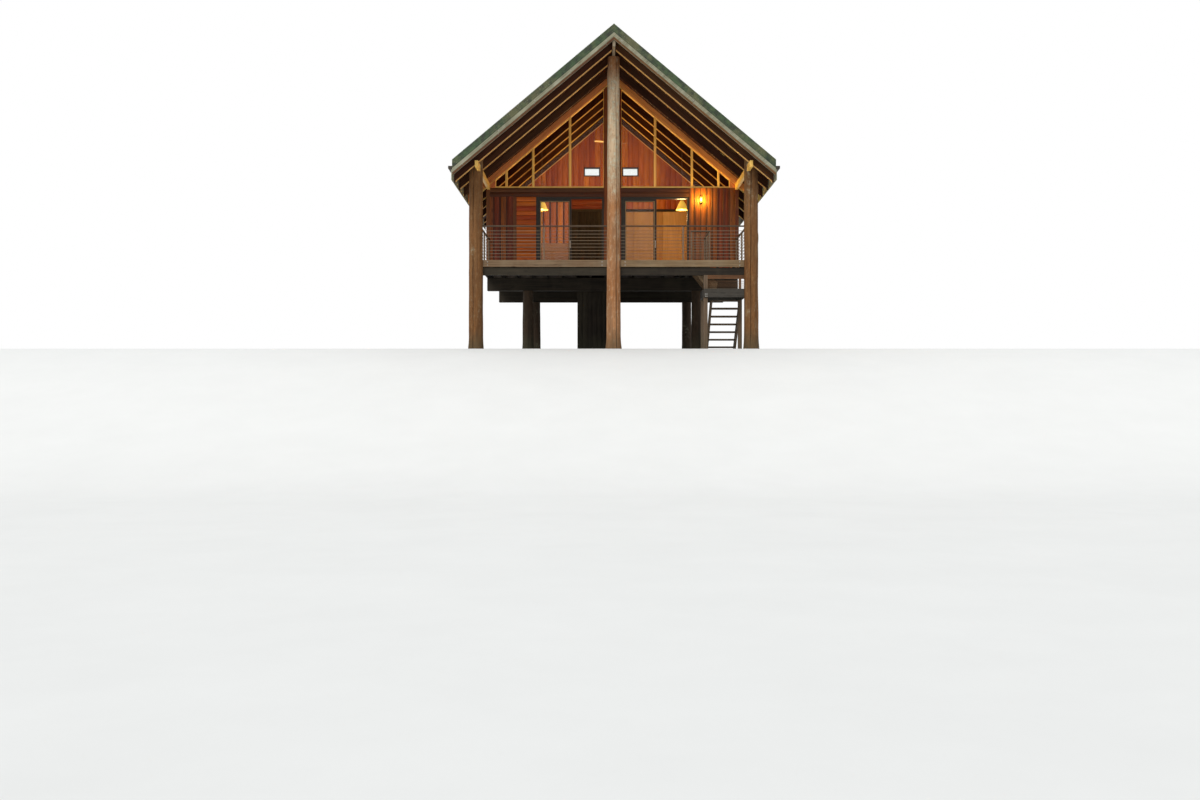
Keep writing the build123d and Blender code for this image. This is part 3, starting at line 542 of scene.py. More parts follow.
# Timbers: name, light and dark grain, greyed colour, and what differs from the usual
TIMBERS = {
    # Golden pine, lighter than the timber itself: its own colour with painted lamp light on the mullions,
    # beams and rafter edges.
    "pine": (
        "golden_pine_and_painted_light", rgb(0.98, 0.64, 0.17), rgb(0.78, 0.43, 0.085), rgb(0.6, 0.4, 0.17),
        {"greying": 0.06, "tone_spread": 0.3, "rough": 0.45, "relief": 0.3, "coat": 0.1},
    ),
    # Rafter-edge strips outside: a painted highlight where light catches the rafters' lower edges, with real
    # weathering on top.
    "strip": (
        "weathered_highlight_strips", rgb(0.9, 0.52, 0.17), rgb(0.62, 0.33, 0.09), rgb(0.5, 0.34, 0.18),
        {"greying": 0.2, "tone_spread": 0.3, "rough": 0.6, "relief": 0.4},
    ),
    # Rafters and ceiling lining: made near-black as painted shade under the roof.
    "rafter": (
        "shade_darkened_rafter_timber", rgb(0.09, 0.033, 0.014), rgb(0.036, 0.013, 0.006), rgb(0.09, 0.055, 0.033),
        {"greying": 0.1, "tone_spread": 0.4, "rough": 0.62, "relief": 0.25, "shine": 0.1},
    ),
    "ceiling": (
        "shade_darkened_ceiling_lining", rgb(0.115, 0.04, 0.016), rgb(0.044, 0.016, 0.007), rgb(0.1, 0.065, 0.038),
        {"greying": 0.1, "tone_spread": 0.6, "rough": 0.55, "relief": 0.4},
    ),
    "wall": (
        "red_stained_boards", rgb(0.26, 0.055, 0.009), rgb(0.09, 0.016, 0.003), rgb(0.2, 0.085, 0.035),
        {"greying": 0.12, "tone_spread": 0.5, "rough": 0.55, "relief": 0.5, "coat": 0.04},
    ),
    "warm_wall": (
        "orange_stained_boards", rgb(0.68, 0.135, 0.014), rgb(0.32, 0.052, 0.005), rgb(0.3, 0.12, 0.045),
        {"greying": 0.1, "tone_spread": 0.5, "rough": 0.55, "relief": 0.5, "coat": 0.04},
    ),
    # Rake boards: far lighter than the wall boards, as painted lamp light on the gable boards in the roof's
    # shade.
    "rake": (
        "red_rake_boards_painted_lamplight", rgb(0.9, 0.3, 0.082), rgb(0.52, 0.16, 0.04), rgb(0.5, 0.24, 0.1),
        {"greying": 0.14, "tone_spread": 0.4, "rough": 0.55, "relief": 0.5, "coat": 0.04},
    ),
    "wall_core": (
        "red_wall_frame", rgb(0.22, 0.06, 0.014), rgb(0.09, 0.022, 0.006), rgb(0.18, 0.09, 0.04),
        {"greying": 0.16, "upward_grain": True},
    ),
    "loft": (
        "orange_loft_boards", rgb(0.56, 0.15, 0.02), rgb(0.24, 0.05, 0.007), rgb(0.34, 0.16, 0.06),
        {"greying": 0.06, "tone_spread": 0.5, "rough": 0.5, "relief": 0.4, "coat": 0.05},
    ),
    "trim": (
        "red_trim_boards", rgb(0.2, 0.058, 0.014), rgb(0.085, 0.021, 0.006), rgb(0.17, 0.09, 0.045),
        {"greying": 0.16, "tone_spread": 0.4, "rough": 0.55, "relief": 0.5, "coat": 0.04},
    ),
    "header": (
        "dark_header_boards", rgb(0.12, 0.03, 0.007), rgb(0.045, 0.011, 0.003), rgb(0.1, 0.05, 0.024),
        {"greying": 0.16, "tone_spread": 0.4, "rough": 0.55, "relief": 0.5, "coat": 0.04},
    ),
    "gold_wall": (
        "golden_lining", rgb(0.68, 0.23, 0.022), rgb(0.38, 0.11, 0.011), rgb(0.42, 0.2, 0.07),
        {"greying": 0.06, "tone_spread": 0.5, "rough": 0.5, "relief": 0.4, "coat": 0.05},
    ),
    "lining": (
        "pale_lining", rgb(0.56, 0.34, 0.12), rgb(0.4, 0.23, 0.075), rgb(0.5, 0.32, 0.15),
        {"greying": 0.08, "tone_spread": 0.25, "knots": 0.3, "rough": 0.5, "relief": 0.25, "coat": 0.05},
    ),
    "barge": (
        "weathered_barge_boards", rgb(0.29, 0.28, 0.19), rgb(0.14, 0.132, 0.085), rgb(0.37, 0.365, 0.275),
        {"greying": 0.6, "tone_spread": 0.3, "rough": 0.78, "relief": 0.8},
    ),
    "ridge": (
        "weathered_ridge_beam", rgb(0.3, 0.24, 0.16), rgb(0.15, 0.11, 0.07), rgb(0.34, 0.31, 0.24),
        {"greying": 0.5, "tone_spread": 0.3, "rough": 0.7, "relief": 0.7},
    ),
    "fascia": (
        "weathered_fascia_boards", rgb(0.22, 0.142, 0.075), rgb(0.105, 0.064, 0.033), rgb(0.23, 0.18, 0.115),
        {"greying": 0.36, "tone_spread": 0.4, "rough": 0.72, "relief": 0.8},
    ),
    # Deck and floor boards: their under value paints shade on the faces turned down.
    "deck": (
        "deck_boards", rgb(0.28, 0.165, 0.085), rgb(0.13, 0.07, 0.034), rgb(0.26, 0.21, 0.155),
        {"greying": 0.42, "rough": 0.66, "relief": 0.7, "under": 0.95, "shine": 0.15},
    ),
    "floor": (
        "floor_boards", rgb(0.46, 0.23, 0.09), rgb(0.22, 0.1, 0.038), rgb(0.36, 0.24, 0.14),
        {"greying": 0.08, "rough": 0.4, "relief": 0.3, "wear": 0.2, "under": 0.95, "shine": 0.3},
    ),
    "dark": (
        "dark_stained_timber", rgb(0.036, 0.028, 0.018), rgb(0.012, 0.0095, 0.007), rgb(0.06, 0.05, 0.033),
        {"greying": 0.25, "rough": 0.72, "relief": 0.7, "wear": 0.45, "damp": 0.35, "shine": 0.15},
    ),
    "stair": (
        "stair_timber", rgb(0.17, 0.115, 0.07), rgb(0.075, 0.05, 0.03), rgb(0.15, 0.125, 0.085),
        {"greying": 0.36, "tone_spread": 0.4, "rough": 0.72, "relief": 0.7, "wear": 0.5, "damp": 0.3},
    ),
    "beam": (
        "grey_landing_beam", rgb(0.06, 0.052, 0.042), rgb(0.028, 0.024, 0.019), rgb(0.09, 0.085, 0.075),
        {"greying": 0.35, "rough": 0.72, "relief": 0.7},
    ),
    "landing_rail": (
        "landing_rail_timber", rgb(0.15, 0.07, 0.024), rgb(0.07, 0.03, 0.011), rgb(0.15, 0.11, 0.06),
        {"greying": 0.25, "rough": 0.66, "relief": 0.6},
    ),
    "blade": (
        "fan_blade_timber", rgb(0.5, 0.36, 0.2), rgb(0.34, 0.22, 0.11), rgb(0.34, 0.28, 0.19),
        {"greying": 0.05, "tone_spread": 0.2, "knots": 0.0, "rough": 0.4, "relief": 0.2, "coat": 0.1},
    ),
}
for key, (name, light, dark, grey, settings) in TIMBERS.items():
    FINISH[key] = timber(name, light, dark, grey, **settings)

# Metals and rubber: name, colour, dust, amount of dust, roughness, metallic, relief, wear
METALS = {
    "gutter": ("dark_gutter", rgb(0.035, 0.029, 0.02), rgb(0.1, 0.08, 0.05), 0.25, 0.5, 0.0, 0.15, 0.3),
    "doors": (
        "dark_door_frames", rgb(0.026, 0.02, 0.014), rgb(0.09, 0.07, 0.045), 0.14, 0.42, 0.0, 0.1, 0.35
    ),
    "edge": ("leaf_edge_trim", rgb(0.34, 0.22, 0.1), rgb(0.3, 0.22, 0.12), 0.15, 0.35, 0.3, 0.1, 0.2),
    "gasket": ("rubber_gasket", rgb(0.018, 0.018, 0.017), rgb(0.1, 0.09, 0.07), 0.15, 0.7, 0.0, 0.2, 0.0),
    "post": ("brown_posts", rgb(0.15, 0.095, 0.055), rgb(0.2, 0.15, 0.1), 0.22, 0.46, 0.0, 0.15, 0.5),
    "rail": ("bronze_rail", rgb(0.066, 0.042, 0.025), rgb(0.16, 0.12, 0.075), 0.22, 0.46, 0.0, 0.15, 0.5),
    "cable": ("dull_steel_bars", rgb(0.2, 0.15, 0.105), rgb(0.16, 0.12, 0.08), 0.3, 0.5, 0.1, 0.1, 0.2),
    "steel": ("satin_steel", rgb(0.5, 0.47, 0.42), rgb(0.38, 0.33, 0.27), 0.25, 0.34, 0.9, 0.1, 0.2),
    "zinc": ("dull_zinc", rgb(0.34, 0.33, 0.31), rgb(0.25, 0.2, 0.15), 0.35, 0.5, 0.85, 0.2, 0.2),
    "fan": ("brown_fan_metal", rgb(0.16, 0.11, 0.075), rgb(0.25, 0.2, 0.14), 0.15, 0.34, 0.5, 0.08, 0.3),
}
for key, settings in METALS.items():
    FINISH[key] = coated_metal(*settings)


# Geometry trees
def open_shape(name, sizes):
    """A geometry tree with named inputs for its sizes, its random seed and its finish."""
    inputs = {"Geometry": ("Geometry", None), **sizes, "Seed": ("Int", 1), "Finish": ("Material", None)}
    return open_group(name, "GeometryNodeTree", inputs, {"Geometry": "Geometry"})


def close_shape(tree, shape, given, made):
    """Gives the realized shape its finish and ends the tree."""
    finished = out(tree, "GeometryNodeSetMaterial", {"Geometry": shape, "Material": given["Finish"]})
    feed(tree, made, {"Geometry": finished})
    return tree


def realized(tree, shape):
    return out(tree, "GeometryNodeRealizeInstances", {0: shape})


def swept(tree, line, profile):
    """A profile run along a line, with closed ends."""
    inputs = {"Curve": line, "Profile Curve": profile, "Fill Caps": True}
    return out(tree, "GeometryNodeCurveToMesh", inputs)


def carried(tree, name, kind):
    """A named value of each point."""
    return out(tree, "GeometryNodeInputNamedAttribute", {"Name": name}, data_type=kind)


def keep(tree, shape, name, value, kind="FLOAT", domain="POINT"):
    """Stores a named value on the shape."""
    inputs = {"Geometry": shape, "Name": name, "Value": value}
    return out(tree, "GeometryNodeStoreNamedAttribute", inputs, data_type=kind, domain=domain)


def chance(tree, seed):
    """A random value from 0 to 1 for each point or copy."""
    return put(tree, "FunctionNodeRandomValue", {"Seed": seed}, data_type="FLOAT").outputs[1]


def board_profile(tree, given):
    """A board's section with eased corners."""
    outline = out(
        tree, "GeometryNodeCurvePrimitiveQuadrilateral",
        {"Width": given["Width"], "Height": given["Thickness"]},
    )
    inputs = {"Curve": outline, "Radius": given["Ease"], "Count": 1}
    return out(tree, "GeometryNodeFilletCurve", inputs, mode="POLY")


def bar_profile(tree, given):
    """A round bar's section."""
    inputs = {"Resolution": given["Sides"], "Radius": given["Radius"]}
    return out(tree, "GeometryNodeCurvePrimitiveCircle", inputs)


def sweep_tree(name, sizes, profile):
    """A board or bar on each point of a mesh, as long as the point's length, with a tone each."""
    tree, given, made = open_shape(name, {**sizes, "Turn": ("Vector", (0, 0, 0))})
    line = out(tree, "GeometryNodeCurvePrimitiveLine", {"Start": (0, 0, 0), "End": (1, 0, 0)})
    bar = swept(tree, line, profile(tree, given))
    size = out(tree, "ShaderNodeCombineXYZ", {0: carried(tree, "length", "FLOAT"), 1: 1.0, 2: 1.0})
    turn = out(tree, "FunctionNodeEulerToRotation", {0: given["Turn"]})
    copies = out(
        tree, "GeometryNodeInstanceOnPoints",
        {"Points": given["Geometry"], "Instance": bar, "Rotation": turn, "Scale": size},
    )
    copies = keep(tree, copies, "tone", chance(tree, given["Seed"]), domain="INSTANCE")
    shape = realized(tree, copies)
    turn_back = out(tree, "FunctionNodeInvertRotation", {0: turn})
    place = out(tree, "GeometryNodeInputPosition")
    along_board = out(tree, "FunctionNodeRotateVector", {0: place, 1: turn_back})
    return close_shape(tree, keep(tree, shape, "grain", along_board, "FLOAT_VECTOR"), given, made)


def fixing_tree():
    """A washer and a hexagon head on each point, turned along the point's facing."""
    tree, given, made = open_shape("Fixings", {"Radius": ("Float", 0.012), "Rise": ("Float", 0.008)})
    radius = given["Radius"]
    thin = times(tree, given["Rise"], 0.35)
    washer = out(tree, "GeometryNodeMeshCylinder", {"Vertices": 10, "Radius": radius, "Depth": thin})
    seated = {"Geometry": washer, "Translation": upright(tree, times(tree, thin, 0.5))}
    washer = out(tree, "GeometryNodeTransform", seated)
    head = out(
        tree, "GeometryNodeMeshCone",
        {
            "Vertices": 6, "Radius Top": times(tree, radius, 0.5),
            "Radius Bottom": times(tree, radius, 0.62), "Depth": given["Rise"],
        },
    )
    fixing = put(tree, "GeometryNodeJoinGeometry")
    for part in (washer, head):
        tree.links.new(part, fixing.inputs[0])
    facing = carried(tree, "facing", "FLOAT_VECTOR")
    turn = out(tree, "FunctionNodeAlignRotationToVector", {"Vector": facing}, axis="Z")
    spin = {"Axis": (0, 0, 1), "Angle": chance(tree, given["Seed"])}
    spin = out(tree, "FunctionNodeAxisAngleToRotation", spin)
    turn = out(tree, "FunctionNodeRotateRotation", {0: turn, 1: spin}, rotation_space="LOCAL")
    copies = {"Points": given["Geometry"], "Instance": fixing.outputs[0], "Rotation": turn}
    copies = out(tree, "GeometryNodeInstanceOnPoints", copies)
    return close_shape(tree, realized(tree, copies), given, made)


def log_split(tree, given, x, y, level):
    """How deep one long split is: it wanders round the log and runs out in places."""
    wander = times(tree, minus(tree, noise(tree, upright(tree, level), 0.7, 3.0), 0.5), 0.5)
    bearing = plus(tree, given["Split Angle"], wander)
    sine, cosine = calc(tree, "SINE", bearing), calc(tree, "COSINE", bearing)
    across = minus(tree, times(tree, x, sine), times(tree, y, cosine))
    ahead = plus(tree, times(tree, x, cosine), times(tree, y, sine))
    narrow = spread(tree, calc(tree, "ABSOLUTE", across), 0.075, 0.0)
    cleft = times(tree, narrow, spread(tree, ahead, 0.0, 0.4))
    run_out = noise(tree, upright(tree, plus(tree, level, given["Seed"])), 0.45, 2.0)
    return times(tree, cleft, spread(tree, run_out, 0.38, 0.5))


def standing_log_tree():
    """A peeled log: tapered, lobed at its butt, fluted, with knots and one long split."""
    tree, given, made = open_shape(
        "Standing log",
        {
            "Centre": ("Vector", (0, 0, 0)),
            "Height": ("Float", 5.0),
            "Base Radius": ("Float", 0.2),
            "Top Radius": ("Float", 0.17),
            "Flare": ("Float", 0.12),
            "Flare Height": ("Float", 0.42),
            "Flute": ("Float", 0.009),
            "Split Angle": ("Float", 0.0),
            "Split Depth": ("Float", 0.03),
            "Rings": ("Int", 150),
            "Sides": ("Int", 96),
        },
    )
    base = given["Base Radius"]
    line = {"Start": (0, 0, 0), "End": upright(tree, given["Height"])}
    line = out(tree, "GeometryNodeCurvePrimitiveLine", line)
    line = out(tree, "GeometryNodeResampleCurve", {"Curve": line, "Count": given["Rings"]})
    ring = out(tree, "GeometryNodeCurvePrimitiveCircle", {"Resolution": given["Sides"], "Radius": 1.0})
    log = swept(tree, line, ring)
    place = out(tree, "GeometryNodeInputPosition")
    x, y, level = put(tree, "ShaderNodeSeparateXYZ", {0: place}).outputs
    own_part = diagonal(tree, times(tree, given["Seed"], 7.31))

    def sampled(scales):
        return shift(tree, stretch(tree, place, scales), own_part)

    rise = calc(tree, "DIVIDE", level, given["Height"])
    taper = times(tree, minus(tree, given["Top Radius"], base), rise)
    foot = minus(tree, 1.0, at_most_one(tree, calc(tree, "DIVIDE", level, given["Flare Height"])))
    around = sampled((1.5, 1.5, 0.9))
    lobes = times(tree, base, plus(tree, noise(tree, around, 1.1, 1.0), 0.45))
    flare = times(tree, times(tree, calc(tree, "POWER", foot, 2.0), given["Flare"]), lobes)
    bulge = times(tree, minus(tree, noise(tree, around, 0.8, 2.0), 0.5), 0.035)
    flutes = minus(tree, noise(tree, sampled((4.5, 4.5, 0.35)), 1.0, 3.0, 0.6), 0.5)
    flutes = times(tree, flutes, times(tree, given["Flute"], 3.0))
    knot = spots(tree, sampled((1.1, 1.1, 0.8)), 1.0)
    knot = times(tree, spread(tree, knot, 0.17, 0.03), 0.013)
    cleft = log_split(tree, given, x, y, level)
    uneven = plus(tree, plus(tree, flare, bulge), plus(tree, flutes, knot))
    radius = plus(tree, plus(tree, base, taper), uneven)
    radius = minus(tree, radius, times(tree, cleft, given["Split Depth"]))
    outward = stretch(tree, place, (1.0, 1.0, 0.0))
    outward = out(tree, "ShaderNodeVectorMath", {0: outward, "Scale": radius}, operation="SCALE")
    at = shift(tree, shift(tree, outward, upright(tree, level)), given["Centre"])
    log = keep(tree, log, "split", cleft)
    log = out(tree, "GeometryNodeSetPosition", {"Geometry": log, "Position": at})
    log = out(tree, "GeometryNodeSetShadeSmooth", {"Geometry": log})
    return close_shape(tree, realized(tree, log), given, made)


BOARDS = sweep_tree(
    "Boards on points",
    {"Width": ("Float", 0.14), "Thickness": ("Float", 0.02), "Ease": ("Float", 0.003)},
    board_profile,
)
BARS = sweep_tree("Round bars on points", {"Radius": ("Float", 0.007), "Sides": ("Int", 10)}, bar_profile)
FIXINGS = fixing_tree()
STANDING_LOG = standing_log_tree()


# Making pieces
def show(name, data):
    """Puts a mesh, curve, light or camera in the scene."""
    piece = bpy.data.objects.new(name, data)
    scene.collection.objects.link(piece)
    return piece


def settle(name, mesh, nodes=(), body="house"):
    """Makes a finished mesh a piece under its body, and hides the nodes it stands for."""
    piece = show(name, mesh)
    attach(piece, body)
    if nodes:
        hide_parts(*nodes)


def plain_mesh(piece):
    """The mesh that a piece's modifier or curve makes, left without the piece."""
    bpy.context.view_layer.update()
    mesh = bpy.data.meshes.new_from_object(piece.evaluated_get(bpy.context.evaluated_depsgraph_get()))
    bpy.data.objects.remove(piece)
    return mesh


def smooth(mesh, sharp):
    """Smooth faces, parted where they meet at more than an angle in degrees."""
    mesh.shade_smooth()
    mesh.set_sharp_from_angle(angle=math.radians(sharp))


def point_mesh(points, **attributes):
    """A mesh of loose points with values on them."""
    mesh = bpy.data.meshes.new("points")
    mesh.from_pydata([tuple(point) for point in points], [], [])
    for name, values in attributes.items():
        flat = np.array(values, np.float32)
        if flat.ndim == 1:
            mesh.attributes.new(name, "FLOAT", "POINT").data.foreach_set("value", flat)
        else:
            mesh.attributes.new(name, "FLOAT_VECTOR", "POINT").data.foreach_set("vector", flat.ravel())
    return mesh


def run_mesh(runs):
    """A point mesh from (start point, length) pairs."""
    return point_mesh([start for start, length in runs], length=[length for start, length in runs])


def cut_to_slope(mesh, apex):
    """Lowers what stands above the slope that falls both ways from an apex on the ridge."""
    places = np.zeros(len(mesh.vertices) * 3, np.float32)
    mesh.vertices.foreach_get("co", places)
    rows = places.reshape(-1, 3)
    rows[:, 2] = np.minimum(rows[:, 2], apex - SLOPE * np.abs(rows[:, 0]) - SLOPE_GAP)
    mesh.vertices.foreach_set("co", places)
    mesh.update()


def grow(name, tree, mesh, settings):
    """Runs a geometry tree on a mesh and gives the result as a plain mesh."""
    start = show(name + "_start", mesh)
    modifier = start.modifiers.new("Grow", "NODES")
    modifier.node_group = tree
    for item in tree.interface.items_tree:
        if item.in_out == "INPUT" and item.name in settings:
            modifier[item.identifier] = settings[item.name]
    return plain_mesh(start)


def boards(name, runs, finish, turn, width, thickness, ease, seed=1, apex=None, nodes=()):
    """Boards from (start point, length) pairs, all turned alike, cut to a slope if asked."""
    mesh = grow(name, BOARDS, run_mesh(runs), {
        "Width": width, "Thickness": thickness, "Ease": ease, "Turn": turn, "Seed": seed,
        "Finish": FINISH[finish],
    })
    if apex:
        cut_to_slope(mesh, apex)
    settle(name, mesh, nodes)


def bars(name, runs, finish, turn, radius, sides=10, nodes=(), body="house"):
    """Round bars from (start point, length) pairs, all turned alike."""
    mesh = grow(name, BARS, run_mesh(runs), {
        "Radius": radius, "Sides": sides, "Turn": turn, "Seed": 1, "Finish": FINISH[finish],
    })
    smooth(mesh, 50)
    settle(name, mesh, nodes, body)


def fixings(name, points, facings, radius, rise, body="house"):
    """Zinc screw or bolt heads at points, each along its own facing."""
    mesh = point_mesh(points, facing=[tuple(facing) for facing in facings])
    settings = {"Radius": radius, "Rise": rise, "Seed": 1, "Finish": FINISH["zinc"]}
    settle(name, grow(name, FIXINGS, mesh, settings), body=body)


def box_solid(low, high):
    """Corners and faces of a square-cut piece."""
    points = [(x, y, z) for x in (low[0], high[0]) for y in (low[1], high[1]) for z in (low[2], high[2])]
    faces = [(0, 1, 3, 2), (4, 6, 7, 5), (0, 4, 5, 1), (2, 3, 7, 6), (0, 2, 6, 4), (1, 5, 7, 3)]
    return points, faces


def prism_solid(outline, axis, low, high):
    """An outline in the plane across an axis, run along it from low to high."""
    def at(pair, level):
        place = list(pair)
        place.insert(axis, level)
        return tuple(place)
    count = len(outline)
    points = [at(pair, low) for pair in outline] + [at(pair, high) for pair in outline]
    faces = [tuple(range(count)), tuple(range(2 * count - 1, count - 1, -1))]
    faces += [(i, i + count, (i + 1) % count + count, (i + 1) % count) for i in range(count)]
    return points, faces


def sloped_solid(side, near, far, low, high, y_edges):
    """A strip that falls with the roof on one side, between two lines given by their ridge levels."""
    outline = [(side * x, low - SLOPE * x) for x in (near, far)]
    outline += [(side * x, high - SLOPE * x) for x in (far, near)]
    return prism_solid(outline, 1, *sorted(y_edges))


def under_slope_solid(side, near, far, foot, apex, y_edges):
    """An upright strip on a level foot, cut to the slope at its top."""
    outline = [(side * x, foot) for x in (near, far)]
    outline += [(side * x, apex - SLOPE * x) for x in (far, near)]
    return prism_solid(outline, 1, *y_edges)


def give_grain(form, seed):
    """Marks each separate member with its tone and with places along and across its longest run.

    Members are met in the order of their first vertex, so each run gives them the same tones.
    """
    grain = form.verts.layers.float_vector.new("grain")
    tone = form.verts.layers.float.new("tone")
    draw = random.Random(seed)
    seen = set()
    for first in form.verts:
        if first in seen:
            continue
        seen.add(first)
        joined, front = [], [first]
        while front:
            vertex = front.pop()
            joined.append(vertex)
            for edge in vertex.link_edges:
                other = edge.other_vert(vertex)
                if other not in seen:
                    seen.add(other)
                    front.append(other)
        places = np.array([vertex.co for vertex in joined])
        centre = places.mean(0)
        axes = np.linalg.svd(places - centre, full_matrices=False)[2]
        shade = draw.random()
        for vertex, place in zip(joined, (places - centre) @ axes.T):
            vertex[grain] = Vector(place)
            vertex[tone] = shade


def ease_edges(form, width):
    """Cuts back every sharp arris and marks the new faces as worn."""
    form.faces.ensure_lookup_table()
    worn = form.faces.layers.float.new("worn")
    paired = [edge for edge in form.edges if len(edge.link_faces) == 2]
    sharp = [edge for edge in paired if edge.calc_face_angle(0) > math.radians(35)]
    cut = bmesh.ops.bevel(
        form, geom=sharp, offset=width, segments=1, profile=0.5, affect="EDGES", clamp_overlap=True
    )
    for face in cut["faces"]:
        face[worn] = 1.0


def finished_mesh(form, name, *materials):
    """Turns a form into a mesh with its materials."""
    mesh = bpy.data.meshes.new(name)
    form.to_mesh(mesh)
    form.free()
    for material in materials:
        mesh.materials.append(material)
    return mesh


def member(name, solids, finish, ease, seed, nodes=(), body="house"):
    """Square-cut members as one piece, each with its own grain and eased arrises."""
    form = bmesh.new()
    for points, faces in solids:
        corners = [form.verts.new(point) for point in points]
        for face in faces:
            form.faces.new([corners[i] for i in face])
    bmesh.ops.recalc_face_normals(form, faces=form.faces)
    give_grain(form, seed)
    ease_edges(form, ease)
    settle(name, finished_mesh(form, name, FINISH[finish]), nodes, body)


def follow_faces(form):
    """Lays the grain of each face along its longest edge, for members that are joined in one solid."""
    form.verts.layers.float_vector.remove(form.verts.layers.float_vector["grain"])
    grain = form.loops.layers.float_vector.new("grain")
    for face in form.faces:
        edge = max(face.edges, key=lambda one: one.calc_length())
        along = (edge.verts[1].co - edge.verts[0].co).normalized()
        if max(along, key=abs) < 0:
            along.negate()
        across = face.normal.cross(along)
        for loop in face.loops:
            place = loop.vert.co
            loop[grain] = (place.dot(along), place.dot(across), place.dot(face.normal))


def eased_node(node, finish, slot, ease, seed, second=None, levels=(0.0, 0.0), cuts=(), body="house"):
    """A node's own shape with its arrises cut back, in a second finish between two levels if asked.

    The cuts are planes (place, facing) that divide its faces, so that each part has its own grain.
    Divided faces come in a new order each run, so they are sorted.
    """
    form = bmesh.new()
    form.from_mesh(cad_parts[node].data)
    bmesh.ops.remove_doubles(form, verts=form.verts, dist=0.00002)
    bmesh.ops.dissolve_limit(form, angle_limit=math.radians(1), verts=form.verts, edges=form.edges)
    give_grain(form, seed)
    ease_edges(form, ease)
    form.normal_update()
    for place, facing in cuts:
        whole = form.verts[:] + form.edges[:] + form.faces[:]
        bmesh.ops.bisect_plane(form, geom=whole, plane_co=place, plane_no=facing, dist=0.0001)
    if cuts:
        form.verts.index_update()
        ordered = sorted(form.faces, key=lambda face: [vertex.index for vertex in face.verts])
        rank = {face: i for i, face in enumerate(ordered)}
        form.faces.sort(key=rank.get)
    follow_faces(form)
    for face in form.faces:
        face.material_index = 1 if levels[0] < face.calc_center_median().z < levels[1] else 0
    name = node + "_timber"
    finishes = [FINISH[key] for key in (finish, second) if key]
    settle(name, finished_mesh(form, name, *finishes), [node], body)


def turned(name, outlines, finish, sides, sharp=35, nodes=(), body="house"):
    """Pieces turned on a lathe: (centre, closed outline of radius and level) each."""
    form = bmesh.new()
    for centre, outline in outlines:
        rings = []
        for radius, level in outline:
            rings.append([
                form.verts.new((
                    centre[0] + radius * math.cos(2 * math.pi * i / sides),
                    centre[1] + radius * math.sin(2 * math.pi * i / sides),
                    centre[2] + level,
                ))
                for i in range(sides if radius else 1)
            ])
        for one, two in zip(rings, rings[1:] + rings[:1]):
            if len(one) + len(two) == 2:
                continue
            for i in range(sides):
                j = (i + 1) % sides
                corners = (one[i % len(one)], one[j % len(one)], two[j % len(two)], two[i % len(two)])
                form.faces.new(list(dict.fromkeys(corners)))
    bmesh.ops.recalc_face_normals(form, faces=form.faces)
    mesh = finished_mesh(form, name, FINISH[finish])
    smooth(mesh, sharp)
    settle(name, mesh, nodes, body)


def tube(name, points, radius, finish, nodes, body):
    """A round tube along a smooth path."""
    curve = bpy.data.curves.new(name, "CURVE")
    curve.dimensions = "3D"
    curve.bevel_depth = radius
    curve.bevel_resolution = 3
    curve.resolution_u = 6
    curve.use_fill_caps = True
    line = curve.splines.new("NURBS")
    line.points.add(len(points) - 1)
    for i, point in enumerate(points):
        line.points[i].co = (*point, 1.0)
    line.order_u = 3
    line.use_endpoint_u = True
    mesh = plain_mesh(show(name + "_path", curve))
    mesh.materials.clear()
    mesh.materials.append(FINISH[finish])
    smooth(mesh, 50)
    settle(name, mesh, nodes, body)


def repaint(finish, slot, *nodes):
    """Gives kept nodes their finish."""
    for node in nodes:
        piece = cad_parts[node]
        piece.data.materials.clear()
        piece.data.materials.append(FINISH[finish])


def turn_to(length, width):
    """The turn that lays a board's length and width along two directions."""
    length, width = Vector(length), Vector(width)
    return tuple(Matrix((length, width, length.cross(width))).transposed().to_euler())


UPRIGHT_FRONT = turn_to((0, 0, 1), (1, 0, 0))
UPRIGHT_SIDE = turn_to((0, 0, 1), (0, 1, 0))
LEVEL_FRONT = turn_to((1, 0, 0), (0, 0, 1))
LEVEL_ACROSS = turn_to((1, 0, 0), (0, 1, 0))
LEVEL_ALONG = turn_to((0, 1, 0), (1, 0, 0))


# Camera, ground, daylight and lamps
lens = bpy.data.cameras.new("photo_view")
lens.lens = 35.0
lens.sensor_width = 36.0
lens.clip_end = 700.0
camera = show("photo_view", lens)
camera.location = (-0.39, -37.18, -1.44)
camera.rotation_euler = (math.pi / 2, 0.0, 0.0)
scene.camera = camera

GROUND_REACH = 260.0
BANK_START, BANK_RUN, BANK_FALL = -4.25, 13.0, 3.15


def ground_level(y):
    """Flat under the house, then a bank that falls away towards the camera."""
    run = min(max((BANK_START - y) / BANK_RUN, 0.0), 1.0)
    return -BANK_FALL * run * run * (3 - 2 * run)


def ground():
    form = bmesh.new()
    lines = [GROUND_REACH, 12.0, 0.0] + [BANK_START - 0.5 * i for i in range(27)] + [-GROUND_REACH]
    ends = (-GROUND_REACH, GROUND_REACH)
    rows = [[form.verts.new((x, y, ground_level(y))) for x in ends] for y in lines]
    for one, two in zip(rows, rows[1:]):
        form.faces.new((one[0], two[0], two[1], one[1]))
    mesh = finished_mesh(form, "ground", ground_finish())
    mesh.shade_smooth()
    show("ground", mesh)


